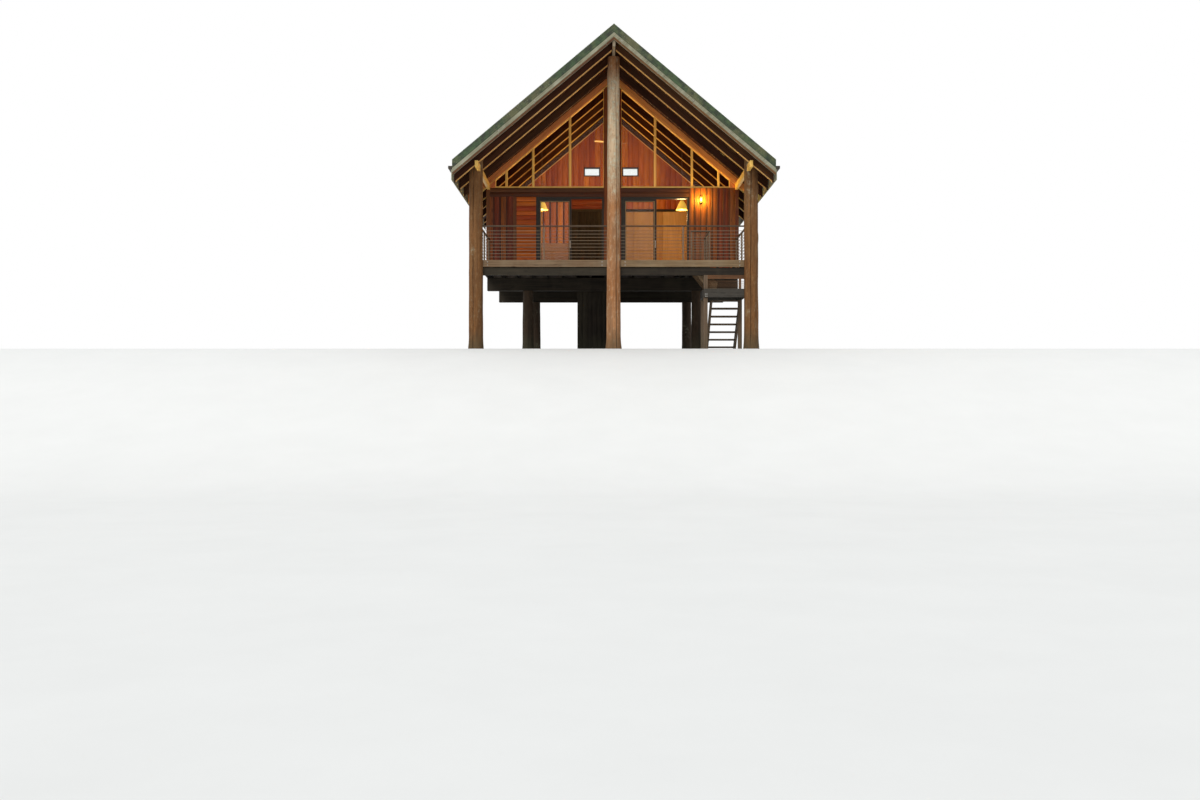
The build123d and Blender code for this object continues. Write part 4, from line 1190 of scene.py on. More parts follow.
def daylight():
    """White where the camera looks past the house, and a soft cool light all round."""
    sky = bpy.data.worlds.new("soft_daylight")
    sky.use_nodes = True
    scene.world = sky
    tree = sky.node_tree
    tree.nodes.clear()
    rays = put(tree, "ShaderNodeLightPath").outputs
    seen = plus(tree, rays["Is Camera Ray"], rays["Is Glossy Ray"])
    seen = at_most_one(tree, plus(tree, seen, rays["Is Transmission Ray"]))
    ambient = out(tree, "ShaderNodeBackground", {"Color": rgb(0.93, 0.97, 1.0), "Strength": 0.75})
    backdrop = out(tree, "ShaderNodeBackground", {"Color": rgb(1.0, 1.0, 1.0), "Strength": 1.0})
    blend = out(tree, "ShaderNodeMixShader", {0: seen, 1: ambient, 2: backdrop})
    put(tree, "ShaderNodeOutputWorld", {0: blend})


def lamp(name, kind, place, colour, energy, size, aim=None):
    """A light that is not seen through the glass."""
    light = bpy.data.lights.new(name, kind)
    light.color = colour
    light.energy = energy
    if kind == "SUN":
        light.angle = size
    else:
        light.shadow_soft_size = size
    holder = show(name, light)
    holder.location = place
    if aim:
        holder.rotation_euler = Vector(aim).to_track_quat("-Z", "Y").to_euler()
    holder.visible_transmission = False


ground()
daylight()
lamp("soft_key", "SUN", (0, 0, 20), (1.0, 0.97, 0.92), 1.7, math.radians(28), (0.5, 0.85, -0.75))
for side, label in SIDES:
    lamp("pendant_light_" + label, "POINT", (side * 2.28, 0.82, 4.5), (1.0, 0.62, 0.27), 80.0, 0.16)
lamp("wall_light", "POINT", (2.75, -1.05, 4.78), (1.0, 0.68, 0.1), 52.0, 0.05)
lamp("loft_light", "POINT", (0.0, 1.0, 6.3), (1.0, 0.64, 0.26), 110.0, 0.25)
lamp("gable_light", "POINT", (0.0, -0.45, 5.7), (1.0, 0.6, 0.28), 50.0, 0.3)


# Logs
def standing_log(name, place, height, radii, finish, node, rings, sides, split, seed, apex=None):
    """A log on the ground, with its radii at foot and head and its split's bearing and depth."""
    mesh = grow(name, STANDING_LOG, point_mesh([(0, 0, 0)]), {
        "Centre": (*place, 0), "Height": height, "Base Radius": radii[0], "Top Radius": radii[1],
        "Rings": rings, "Sides": sides, "Split Angle": split[0], "Split Depth": split[1],
        "Seed": seed, "Finish": FINISH[finish],
    })
    if apex:
        cut_to_slope(mesh, apex)
    settle(name, mesh, [node])


standing_log(
    "front_log_timber", (0, LOG_Y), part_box("front_log")[1].z, (0.205, 0.165), "front_log",
    "front_log", 230, 96, (-1.1, 0.03), 4,
)
for side, node, seed, split in ((-1, "corner_log_left", 11, -1.9), (1, "corner_log_right", 17, -1.75)):
    standing_log(
        node + "_timber", (side * CORNER_X, LOG_Y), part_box(node)[1].z, (0.205, 0.193), "corner_log",
        node, 150, 96, (split, 0.05), seed, CEILING_APEX,
    )
low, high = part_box("under_logs")
under_places = [(x, y) for y in (low.y + 0.19, high.y - 0.19) for x in (-2.63, 0.0, 2.63)]
for i, place in enumerate(under_places):
    standing_log(
        "under_log_%d" % (i + 1), place, high.z, (0.17, 0.16), "under_log", "under_logs",
        44, 48, (-1.4 + 0.3 * i, 0.018), 30 + i,
    )


# Roof
repaint("roof", "roof_metal", "roof_left", "roof_right", "ridge_cap")
repaint("verge", "roof_metal", "verge_caps")
repaint("gutter", "roof_metal", "gutters")

EASED = {
    "rafters": ("rafter", "frame_timber", 0.006),
    "eave_beams": ("pine", "frame_timber", 0.006),
    "ridge_beam": ("ridge", "frame_timber", 0.006),
    "gable_frame": ("pine", "frame_timber", 0.003),
    "front_header": ("header", "wall_boards", 0.004),
    "centre_post": ("trim", "wall_boards", 0.004),
    "barge_boards": ("barge", "grey_boards", 0.005),
    "eave_boards": ("barge", "grey_boards", 0.004),
    "front_fascias": ("fascia", "grey_boards", 0.005),
    "side_fascias": ("fascia", "grey_boards", 0.005),
    "rear_fascia": ("fascia", "grey_boards", 0.005),
    "floor_joists": ("dark", "dark_timber", 0.004),
    "bearers": ("dark", "dark_timber", 0.006),
    "landing": ("stair", "dark_timber", 0.005),
    "landing_guard": ("landing_rail", "dark_timber", 0.003),
    "lower_flight": ("stair", "dark_timber", 0.004),
    "upper_flight": ("fascia", "dark_timber", 0.004),
    "door_frames": ("doors", "dark_frames", 0.003),
    "rear_window_frames": ("doors", "dark_frames", 0.003),
}
FRAME_CUTS = [((0, 0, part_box("gable_glass")[0].z), (0, 0, 1))]
FRAME_CUTS += [((0, 0, RAFTER_APEX), (side * SLOPE, 0, 1)) for side in (-1, 1)]
APART = {
    "landing": ("beam", (1.5, LANDING_Z - 0.005), [((0, 0, 1.51), (0, 0, 1))]),
    "gable_frame": (None, (0.0, 0.0), FRAME_CUTS),
}
for node, (finish, slot, ease) in EASED.items():
    eased_node(node, finish, slot, ease, len(node), *APART.get(node, ()))


def rafter_highlight_strips():
    """Pale strips on the lower edge of every rafter, a painted highlight of lamp light on those edges:
    golden indoors and weathered tan outside.
    """
    levels = sorted({round(vertex.co.y, 3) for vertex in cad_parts["rafters"].data.vertices})
    runs = [(near, far) for near, far in zip(levels[::2], levels[1::2]) if not WALL_Y - 1.5 < near < WALL_Y]
    ridge_end, eave_end = 0.06, 4.46
    at_wall = (REAR_IN - 0.04, REAR_IN)
    low, high = RAFTER_APEX - 0.003, RAFTER_APEX + 0.024
    indoors, outside = [], []
    for near, far in runs + [at_wall]:
        made = indoors if WALL_Y < near < REAR_Y else outside
        y_edges = (near - 0.003, far + 0.003)
        made += [sloped_solid(side, ridge_end, eave_end, low, high, y_edges) for side in (-1, 1)]
    low, high = RAFTER_APEX + 0.022, CEILING_APEX - 0.002
    wall_rafter = [sloped_solid(side, ridge_end, INNER, low, high, at_wall) for side in (-1, 1)]
    member("wall_rafter", wall_rafter, "rafter", 0.003, 74)
    member("indoor_highlight_strips", indoors, "pine", 0.002, 71)
    member("outdoor_highlight_strips", outside, "strip", 0.002, 73)


def barge_shade_strips():
    """A brown strip on the lower edge of each barge board: painted shade that darkens that edge."""
    low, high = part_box("barge_boards")
    solids = [
        sloped_solid(
            side, 0.0, ROOF_HALF - 0.004, BARGE_BASE + 0.001, BARGE_BASE + 0.078,
            (face, face + outward * 0.008),
        )
        for face, outward in ((low.y, -1), (high.y, 1)) for side in (-1, 1)
    ]
    member("barge_shade_strips", solids, "landing_rail", 0.002, 72)


def ceiling_side(side, label):
    """Lining boards along the house, laid on the rafters' upper edges, their ends met at random."""
    draw = random.Random(7 + side)
    run = ROOF_HALF / math.cos(TILT)
    count = int(run / 0.1355)
    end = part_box("ceiling_right")[1].y
    runs = []
    for i in range(count):
        down = run * (i + 0.5) / count
        x = side * down * math.cos(TILT)
        z = CEILING_APEX - SLOPE * abs(x) + CEILING_THICK / 2 / math.cos(TILT)
        joints = [-end] + sorted(draw.uniform(-end + 1.0, end - 1.0) for _ in range(2)) + [end]
        for one, two in zip(joints, joints[1:]):
            if two - one > 0.3:
                runs.append(((x, one + 0.001, z), two - one - 0.002))
    turn = Matrix.Rotation(side * TILT, 4, "Y") @ Matrix.Rotation(math.pi / 2, 4, "Z")
    boards(
        "ceiling_%s_boards" % label, runs, "ceiling", tuple(turn.to_euler()),
        run / count - 0.003, 0.0198, 0.0045, 40 + side, nodes=["ceiling_" + label],
    )


rafter_highlight_strips()
barge_shade_strips()
for side, label in SIDES:
    ceiling_side(side, label)

# Walls
repaint("wall_core", "wall_boards", "front_wall_left", "front_wall_right", "left_wall", "right_wall")
repaint("wall_core", "wall_boards", "rear_wall")

SKIN = 0.014
BATTEN = 0.012
POST_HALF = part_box("centre_post")[1].x
DOOR_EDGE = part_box("door_frames")[1].x
EAVE_IN = HALF - 0.09
EAVE_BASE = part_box("eave_beams")[0].z
CORNER_TRIM = 0.085
TRIM_DEPTH = 0.026
JOINT_TRIM = (-3.09, -2.985)
WINDOW_WIDTH = 0.58
WINDOW_X = (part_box("rear_window_frames")[1].x - WINDOW_WIDTH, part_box("rear_window_frames")[1].x)
WINDOW_Z = (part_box("rear_window_frames")[0].z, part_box("rear_window_frames")[1].z)
PLATE_BASE, PLATE_TOP = 5.13, 5.22
DARK_LEFT, DARK_RIGHT = -1.42, -0.2
LINING_TOP = 5.8
FRONT = ("x", WALL_Y, -1)
REAR = ("x", REAR_Y, 1)
REAR_INSIDE = ("x", REAR_IN, -1)
REAR_PROUD = ("x", REAR_IN - SKIN, -1)


def on_wall(wall, along, off, level):
    """A place along a wall, off its face and up: the wall is its run, its face and its outward side."""
    run, face, outward = wall
    return (along, face + outward * off, level) if run == "x" else (face + outward * off, along, level)


def upright_boards(name, wall, span, levels, pitch, seed, finish="wall", batten=0.0, apex=None):
    """Upright boards on a wall, with cover battens on their joints."""
    cover = "header" if finish in ("wall", "gold_wall") else finish
    turn = UPRIGHT_FRONT if wall[0] == "x" else UPRIGHT_SIDE
    count = max(1, round((span[1] - span[0]) / pitch))
    width = (span[1] - span[0]) / count
    rise = levels[1] - levels[0]
    runs = [(on_wall(wall, span[0] + width * (i + 0.5), SKIN / 2, levels[0]), rise) for i in range(count)]
    boards(name, runs, finish, turn, width - 0.005, SKIN, 0.0035, seed, apex)
    if batten and count > 1:
        off = SKIN + BATTEN / 2
        runs = [(on_wall(wall, span[0] + width * i, off, levels[0]), rise) for i in range(1, count)]
        boards(name + "_battens", runs, cover, turn, batten, BATTEN, 0.003, seed + 50, apex)


def level_boards(name, wall, span, levels, pitch, finish, seed):
    """Level boards on a front or rear wall."""
    count = max(1, round((levels[1] - levels[0]) / pitch))
    width = (levels[1] - levels[0]) / count
    length = span[1] - span[0]
    runs = [(on_wall(wall, span[0], SKIN / 2, levels[0] + width * (i + 0.5)), length) for i in range(count)]
    boards(name, runs, finish, LEVEL_FRONT, width - 0.006, SKIN, 0.004, seed)


def front_cladding():
    """Upright boards at both ends, level boards left of the doors and over them, and the post."""
    storey = (FLOOR, DOOR_HEAD)
    whole = (FLOOR, SILL)
    upright_boards("front_boards_right", FRONT, (DOOR_EDGE, EAVE_IN), whole, 0.18, 3, batten=0.042)
    upright_boards("front_corner_board", FRONT, (EAVE_IN, HALF), (FLOOR, EAVE_BASE), 0.18, 7)
    upright_boards("front_boards_left", FRONT, (-HALF, JOINT_TRIM[0]), storey, 0.19, 4, batten=0.042)
    level_boards("front_boards_level", FRONT, (JOINT_TRIM[1], -DOOR_EDGE), storey, 0.143, "warm_wall", 5)
    post_levels = (FLOOR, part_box("centre_post")[1].z)
    upright_boards(
        "post_boards", FRONT, (-POST_HALF, POST_HALF), post_levels, 0.18, 21, apex=RAFTER_APEX
    )
    for (side, label), reach in zip(SIDES, (EAVE_IN, DOOR_EDGE)):
        span = sorted((side * POST_HALF, side * reach))
        level_boards("header_boards_" + label, FRONT, span, (DOOR_HEAD, SILL), 0.14, "header", 6 + side)


def side_cladding():
    """Upright boards outside and inside the two side walls."""
    lining_top = RAFTER_APEX - SLOPE * INNER - 0.01
    for side, label in SIDES:
        upright_boards(
            "side_boards_" + label, ("y", side * HALF, side), (WALL_Y, REAR_Y), (FLOOR, EAVE_BASE), 0.2,
            12 + side, batten=0.042,
        )
        upright_boards(
            "inner_boards_" + label, ("y", side * INNER, -side), (WALL_BACK, REAR_IN), (FLOOR, lining_top),
            0.14, 16 + side, "loft",
        )


def boards_round_windows(tag, wall, reach, foot, finish, strip, seed):
    """Upright boards up to the ceiling on a wall with the two small windows in it."""
    pieces = [
        ("boards_1", (-reach, -WINDOW_X[1]), foot, CEILING_APEX, seed),
        ("boards_2", (-WINDOW_X[0], WINDOW_X[0]), foot, CEILING_APEX, seed + 1),
        ("boards_3", (WINDOW_X[1], reach), foot, CEILING_APEX, seed + 2),
    ]
    for side, label in SIDES:
        span = sorted((side * WINDOW_X[0], side * WINDOW_X[1]))
        pieces.append(("under_" + label, span, foot, WINDOW_Z[0], seed + 10 + side))
        pieces.append(("over_" + label, span, WINDOW_Z[1], CEILING_APEX, seed + 14 + side))
    for name, span, low, high, own_seed in pieces:
        apex = CEILING_APEX if high == CEILING_APEX else None
        upright_boards(tag + "_" + name, wall, span, (low, high), 0.19, own_seed, finish, strip, apex)


def rear_lining():
    """Inside the rear wall: pale panels right, boards over a low panel left, a dark front between."""
    storey = (FLOOR, PLATE_BASE)
    dark = (DARK_LEFT, DARK_RIGHT)
    upright_boards("lining_pale", REAR_INSIDE, (DARK_RIGHT, INNER), storey, 0.9, 81, "lining")
    upright_boards(
        "lining_left", REAR_PROUD, (-INNER, DARK_LEFT), (FLOOR, LINING_TOP), 0.24, 82, "gold_wall",
        0.06, RAFTER_APEX,
    )
    upright_boards("lining_dark", REAR_INSIDE, dark, storey, 0.3, 83, "dark", 0.06)
    level_boards("lining_band", REAR_PROUD, dark, (PLATE_TOP, LINING_TOP), 0.14, "wall", 86)
    dado = box_solid((-INNER, REAR_IN - 0.06, FLOOR), (DARK_LEFT, REAR_IN - 0.002, FLOOR + 1.45))
    member("lining_dado", [dado], "floor", 0.004, 87)
    solids = [box_solid((DARK_LEFT, REAR_IN - 0.045, PLATE_BASE), (INNER, REAR_IN, PLATE_TOP))]
    for x in dark:
        solids.append(box_solid((x - 0.045, REAR_IN - 0.035, FLOOR), (x + 0.045, REAR_IN, PLATE_BASE)))
    solids.append(box_solid((-3.4, REAR_IN - 0.05, LINING_TOP), (DARK_RIGHT, REAR_IN, LINING_TOP + 0.04)))
    member("rear_plate", solids, "dark", 0.004, 84)


def corner_trims():
    """Boards that cover the walls' corners and the joint of upright and level boards."""
    solids = [box_solid((JOINT_TRIM[0], WALL_Y - TRIM_DEPTH, FLOOR), (JOINT_TRIM[1], WALL_Y, DOOR_HEAD))]
    for side in (-1, 1):
        for y, outward in ((WALL_Y, -1), (REAR_Y, 1)):
            proud = y + outward * TRIM_DEPTH
            for x_edges, y_edges in (
                ((HALF, HALF + TRIM_DEPTH), (proud, y - outward * CORNER_TRIM)),
                ((HALF - CORNER_TRIM, HALF), (proud, y)),
            ):
                low_x, high_x = sorted(side * x for x in x_edges)
                low_y, high_y = sorted(y_edges)
                solids.append(box_solid((low_x, low_y, FLOOR), (high_x, high_y, EAVE_BASE)))
    member("corner_trims", solids, "trim", 0.003, 5)


def rake_boards():
    """Boards along both gables under the roof, and over the blind tips beside the glass."""
    solids = []
    high = CEILING_APEX - 0.004
    for side in (-1, 1):
        for y, outward, near, far, low in (
            (WALL_Y, -1, 0.042, ROOF_HALF - 0.01, RAFTER_APEX + 0.035),
            (REAR_Y, 1, 0.0, HALF, CEILING_APEX - 0.16),
        ):
            solids.append(sloped_solid(side, near, far, low, high, (y, y + outward * 0.028)))
        tip = under_slope_solid(side, 3.64, EAVE_IN, SILL, RAFTER_APEX, (WALL_Y - 0.018, WALL_Y))
        solids.append(tip)
    # The rake finish is painted lamp light: these boards are made far lighter than the walls.
    member("rake_boards", solids, "rake", 0.004, 9)


def window_casings():
    """Flat casings round the rear windows, outside."""
    solids = []
    low, high = WINDOW_Z
    for side in (-1, 1):
        near, far = sorted((side * WINDOW_X[0], side * WINDOW_X[1]))
        for x_edges, z_edges in (
            ((near - 0.05, near + 0.012), (low - 0.05, high + 0.05)),
            ((far - 0.012, far + 0.05), (low - 0.05, high + 0.05)),
            ((near + 0.012, far - 0.012), (high - 0.012, high + 0.05)),
            ((near + 0.012, far - 0.012), (low - 0.05, low + 0.012)),
        ):
            corner = (x_edges[0], REAR_Y, z_edges[0])
            solids.append(box_solid(corner, (x_edges[1], REAR_Y + 0.03, z_edges[1])))
    member("rear_window_casings", solids, "trim", 0.003, 85)


front_cladding()
side_cladding()
boards_round_windows("rear", REAR, HALF, FLOOR, "wall", 0.042, 60)
boards_round_windows("loft", REAR_INSIDE, INNER, PLATE_TOP, "loft", 0.0, 30)
rear_lining()
corner_trims()
rake_boards()
window_casings()

# Floors
WELL_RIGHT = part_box("landing")[1].x
WELL_LEFT, WELL_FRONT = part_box("upper_flight")[0].x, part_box("upper_flight")[0].y
WELL_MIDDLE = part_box("upper_flight")[1].y
WELL_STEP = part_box("lower_flight")[0].x - 0.02
WELL_BACK = WALL_Y - 0.1
JOINTS = (-2.3, -1.38, -0.46, 0.46, 1.38, 2.3)
FLOOR_BOARD = 0.0398
FLOOR_BOARD_MIDDLE = FLOOR - 0.0201


def left_open(first, last, gaps):
    """What is left of a run once the gaps are taken out."""
    runs = [(first, last)]
    for near, far in gaps:
        parts = [part for a, b in runs for part in ((a, min(b, near)), (max(a, far), b))]
        runs = [part for part in parts if part[1] - part[0] > 0.03]
    return runs


def deck_gaps(y):
    """Where the stairwell and the logs stop a deck board."""
    gaps = []
    if WELL_FRONT < y < WELL_MIDDLE:
        gaps.append((WELL_LEFT, WELL_RIGHT))
    if WELL_MIDDLE < y < WELL_BACK:
        gaps.append((WELL_STEP, WELL_RIGHT))
    for x, radius in ((0.0, 0.215), (-CORNER_X, 0.222), (CORNER_X, 0.222)):
        reach = radius * radius - (y - LOG_Y) ** 2
        if reach > 0:
            gaps.append((x - math.sqrt(reach), x + math.sqrt(reach)))
    return gaps


def floor_rows(name, rows, pitch, gaps_at, finish, node, seed):
    """Floor boards across the house with staggered joints, stopped at what passes through."""
    draw = random.Random(seed)
    count = round((rows[1] - rows[0]) / pitch)
    width = (rows[1] - rows[0]) / count
    runs = []
    for i in range(count):
        y = rows[0] + width * (i + 0.5)
        joint = draw.choice(JOINTS)
        for first, last in left_open(-HALF, HALF, gaps_at(y) + [(joint, joint + 0.003)]):
            runs.append(((first, y, FLOOR_BOARD_MIDDLE), last - first))
    boards(
        name, runs, finish, LEVEL_ACROSS, width - 0.006, FLOOR_BOARD, 0.004, seed,
        nodes=[node],
    )


def landing_rows():
    """Thin boards on the landing, short of the front edge's corners."""
    low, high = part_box("landing")
    count = 11
    width = (high.y - low.y) / count
    length = high.x - low.x - 0.004
    places = [(low.x + 0.002, low.y + width * (i + 0.5), LANDING_Z + 0.003) for i in range(2, count)]
    runs = [(place, length) for place in places]
    boards("landing_boards", runs, "deck", LEVEL_ACROSS, width - 0.006, 0.006, 0.002, 92)


def service_enclosure():
    """Dark upright boards round a core."""
    low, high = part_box("service_core")
    left, right, front, rear = low.x + SKIN, high.x - SKIN, low.y + SKIN, high.y - SKIN
    core = box_solid((left, front, 0), (right, rear, high.z))
    member("core_frame", [core], "dark", 0.004, 93, ["service_core"])
    across = (low.x, high.x)
    along = (front, rear)
    for tag, wall, span in (
        ("front", ("x", front, -1), across),
        ("rear", ("x", rear, 1), across),
        ("left", ("y", left, -1), along),
        ("right", ("y", right, 1), along),
    ):
        upright_boards("core_boards_" + tag, wall, span, (0.0, high.z), 0.15, 94 + len(tag), "dark")


floor_rows("deck_floor_boards", (DECK_FRONT, WALL_Y), 0.096, deck_gaps, "deck", "deck_floor", 90)
floor_rows("cabin_floor_boards", (WALL_Y, REAR_Y), 0.14, lambda y: [], "floor", "cabin_floor", 91)
landing_rows()
service_enclosure()

# Guards
RAIL_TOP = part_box("front_guard_right")[1].z
GUARD_Y = (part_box("front_guard_right")[0].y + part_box("front_guard_right")[1].y) / 2
GUARD_X = HALF - 0.05
GUARD_PITCH = 0.094
GUARD_POST_HALF = 0.0225


def guard_post(at, way, side):
    """A square post on its base plate, and the places of the plate's four bolts."""
    halves = (-GUARD_POST_HALF, GUARD_POST_HALF)
    corners = [at + way * a + side * b for a in halves for b in halves]
    low_x, high_x = min(c.x for c in corners), max(c.x for c in corners)
    low_y, high_y = min(c.y for c in corners), max(c.y for c in corners)
    plate_top = FLOOR + 0.008
    solids = [
        box_solid((low_x, low_y, FLOOR), (high_x, high_y, RAIL_TOP - 0.04)),
        box_solid((low_x - 0.02, low_y - 0.02, FLOOR), (high_x + 0.02, high_y + 0.02, plate_top)),
    ]
    bolts = [
        (x, y, plate_top) for x in (low_x - 0.009, high_x + 0.009) for y in (low_y - 0.009, high_y + 0.009)
    ]
    return solids, bolts


def guard(name, start, end, posts, nodes=()):
    """Round bars between two points of the plan, with a rail over them and posts along them."""
    start, end = Vector((*start, 0)), Vector((*end, 0))
    run = (end - start).length
    way = (end - start).normalized()
    side = Vector((-way.y, way.x, 0))
    turn = turn_to(way, side)
    rows = [((start.x, start.y, FLOOR + GUARD_PITCH * (i + 1)), run) for i in range(9)]
    bars(name + "_bars", rows, "cable", turn, 0.007, nodes=nodes)
    rail = [((start.x, start.y, RAIL_TOP - 0.02), run)]
    boards(name + "_rail", rail, "rail", turn, 0.06, 0.04, 0.009)
    solids, bolts = [], []
    for along in posts:
        made, places = guard_post(start + way * along, way, side)
        solids += made
        bolts += places
    member(name + "_posts", solids, "post", 0.002, 7)
    fixings(name + "_bolts", bolts, [(0, 0, 1)] * len(bolts), 0.007, 0.006)


def all_guards():
    """The guards of the deck's front and sides, and two round the stairwell."""
    wall_end = WALL_Y - 0.016
    for side, label in SIDES:
        nodes = ["front_guard_" + label]
        guard("guard_front_" + label, (side * 0.162, GUARD_Y), (side * 3.785, GUARD_Y), [1.838], nodes)
        nodes = ["side_guards"] if side < 0 else []
        start = (side * GUARD_X, LOG_Y + 0.15)
        guard("guard_side_" + label, start, (side * GUARD_X, wall_end), [1.25, 2.6], nodes)
    low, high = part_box("stair_guard")
    well_x, well_y = high.x - 0.03, low.y + 0.03
    posts = [GUARD_POST_HALF, well_x - low.x]
    guard("guard_well_front", (low.x, well_y), (high.x, well_y), posts, ["stair_guard"])
    guard("guard_well_side", (well_x, well_y + 0.031), (well_x, wall_end), [0.82, 1.63])


all_guards()


# Doors
def ring(x_edges, z_edges, width, y_edges):
    """Four strips round an opening."""
    (low_x, high_x), (low_z, high_z), (low_y, high_y) = x_edges, z_edges, y_edges
    return [
        box_solid((low_x, low_y, low_z), (low_x + width, high_y, high_z)),
        box_solid((high_x - width, low_y, low_z), (high_x, high_y, high_z)),
        box_solid((low_x + width, low_y, low_z), (high_x - width, high_y, low_z + width)),
        box_solid((low_x + width, low_y, high_z - width), (high_x - width, high_y, high_z)),
    ]


def pane_seals(across, up, front, low_y, high_y, back):
    """Rubber seals in front of a pane and behind it."""
    return ring(across, up, 0.009, (front, low_y)) + ring(across, up, 0.009, (high_y, back))


def door_pull(body):
    """A bent round pull on two roses, in front of the leaf's stile."""
    low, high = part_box(body + "_handle")
    x = (low.x + high.x) / 2
    front = low.y + 0.0095
    path = []
    for foot, inward in ((low.z + 0.03, 1), (high.z - 0.03, -1)):
        bend = [
            (x, high.y, foot), (x, low.y + 0.03, foot), (x, front, foot), (x, front, foot + inward * 0.025)
        ]
        path += bend[::inward]
    tube(body + "_pull", path, 0.0093, "steel", [body + "_handle"], body)
    roses = [((x, high.y - 0.006, level), 0.006) for level in (low.z + 0.03, high.z - 0.03)]
    bars(body + "_roses", roses, "steel", LEVEL_ALONG, 0.0145, 20, body=body)


def door_leaf(body):
    """An eased leaf with rubber seals either side of its glass and a pale bead in front."""
    eased_node(body + "_leaf", "doors", "dark_frames", 0.003, 3, body=body)
    low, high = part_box(body + "_glass")
    front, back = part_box(body + "_leaf")[0].y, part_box(body + "_leaf")[1].y
    seals = pane_seals((low.x, high.x), (low.z, high.z), front + 0.005, low.y, high.y, back - 0.005)
    member(body + "_seals", seals, "gasket", 0.0015, 4, body=body)
    across, up = (low.x - 0.016, high.x + 0.016), (low.z - 0.016, high.z + 0.016)
    bead = ring(across, up, 0.014, (front - 0.003, front))
    member(body + "_bead", bead, "edge", 0.001, 4, body=body)
    door_pull(body)


def fixed_pane_seals():
    """Rubber seals round the two fixed panes."""
    low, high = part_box("fixed_glass")
    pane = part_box("left_door_glass")[1].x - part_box("left_door_glass")[0].x
    solids = []
    for left in (low.x, low.x + POST_HALF + DOOR_EDGE):
        across = (left, left + pane)
        solids += pane_seals(across, (low.z, high.z), low.y - 0.012, low.y, high.y, high.y + 0.012)
    member("fixed_seals", solids, "gasket", 0.0015, 4)


door_leaf("left_door")
door_leaf("right_door")
fixed_pane_seals()


# Gable glass
def gable_beads():
    """Slim beads that hold the gable's panes against their mullions and sill."""
    low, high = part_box("gable_glass")
    sill, bead, mullion_half = low.z, 0.014, 0.0225
    mullions = [1.325, 2.47, 3.3]
    lefts = [POST_HALF] + [line + mullion_half for line in mullions]
    rights = [line - mullion_half for line in mullions] + [high.x]
    solids = []
    for side in (-1, 1):
        for near, far in zip(lefts, rights):
            for y_edges in ((low.y - bead, low.y), (high.y, high.y + bead)):
                for edges in ((near, near + bead), (far - bead, far)):
                    solids.append(under_slope_solid(side, *edges, sill, RAFTER_APEX, y_edges))
                low_x, high_x = sorted((side * (near + bead), side * (far - bead)))
                solids.append(box_solid((low_x, y_edges[0], sill), (high_x, y_edges[1], sill + bead)))
    member("gable_beads", solids, "pine", 0.002, 6)


gable_beads()
repaint("glass", "glass", "gable_glass", "fixed_glass", "rear_window_glass")
repaint("glass", "glass", "left_door_glass", "right_door_glass")


# Lamps and fan
def pendants():
    """Two enamelled bell shades on rods, each round its bulb."""
    low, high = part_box("pendant_lamps")
    x, y = high.x - 0.2, (low.y + high.y) / 2
    outer = [
        (0.03, 0.318), (0.055, 0.3), (0.078, 0.258), (0.115, 0.198), (0.158, 0.09), (0.198, 0.006),
        (0.198, 0.0),
    ]
    inner = [(0.19, 0.002), (0.15, 0.092), (0.108, 0.194), (0.072, 0.25), (0.05, 0.288), (0.03, 0.306)]
    bulb = [
        (0.0, 0.02), (0.03, 0.026), (0.052, 0.05), (0.058, 0.08), (0.05, 0.115), (0.03, 0.15), (0.026, 0.2),
        (0.0, 0.2),
    ]
    cap = [(0.0, 0.3), (0.034, 0.3), (0.034, 0.326), (0.02, 0.345), (0.009, 0.35), (0.009, 0.4), (0.0, 0.4)]
    for name, outline, finish, slot, sides, sharp, nodes in (
        ("shades", outer + inner, "shade", "lamp_shade", 48, 60, ["pendant_lamps"]),
        ("bulbs", bulb, "bulb", "lamp_glass", 24, 35, ()),
        ("caps", cap, "fan", "fan_finish", 28, 35, ()),
    ):
        outlines = [((side * x, y, low.z), outline) for side in (-1, 1)]
        turned("pendant_" + name, outlines, finish, sides, sharp, nodes)
    drop = CEILING_APEX - SLOPE * x - low.z - 0.4
    stems = [((side * x, y, low.z + 0.4), drop + 0.004) for side in (-1, 1)]
    bars("pendant_stems", stems, "fan", UPRIGHT_FRONT, 0.0065, 12)


def wall_lamp():
    """A glass drum between two metal trims, on a plate beside the right door."""
    low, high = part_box("wall_lamp")
    x, y = (low.x + high.x) / 2, low.y + 0.043
    glass = [
        (0.0, 0.028), (0.028, 0.028), (0.037, 0.04), (0.041, 0.07), (0.042, 0.12), (0.039, 0.16),
        (0.031, 0.174), (0.0, 0.174),
    ]
    foot = [(0.0, 0.0), (0.012, 0.0), (0.03, 0.012), (0.034, 0.02), (0.034, 0.032), (0.0, 0.032)]
    hood = [(0.0, 0.17), (0.036, 0.17), (0.036, 0.18), (0.026, 0.19), (0.01, 0.2), (0.0, 0.2)]
    at = (x, y, low.z)
    turned("wall_lamp_glass", [(at, glass)], "globe", 32, nodes=["wall_lamp"])
    turned("wall_lamp_trims", [(at, foot), (at, hood)], "fan", 32)
    face = WALL_Y - SKIN
    solids = [box_solid((x - 0.038, face - 0.016, low.z), (x + 0.038, face, high.z))]
    for level in (low.z + 0.014, low.z + 0.176):
        solids.append(box_solid((x - 0.012, y + 0.03, level), (x + 0.012, face - 0.01, level + 0.01)))
    member("wall_lamp_plate", solids, "fan", 0.003, 2)


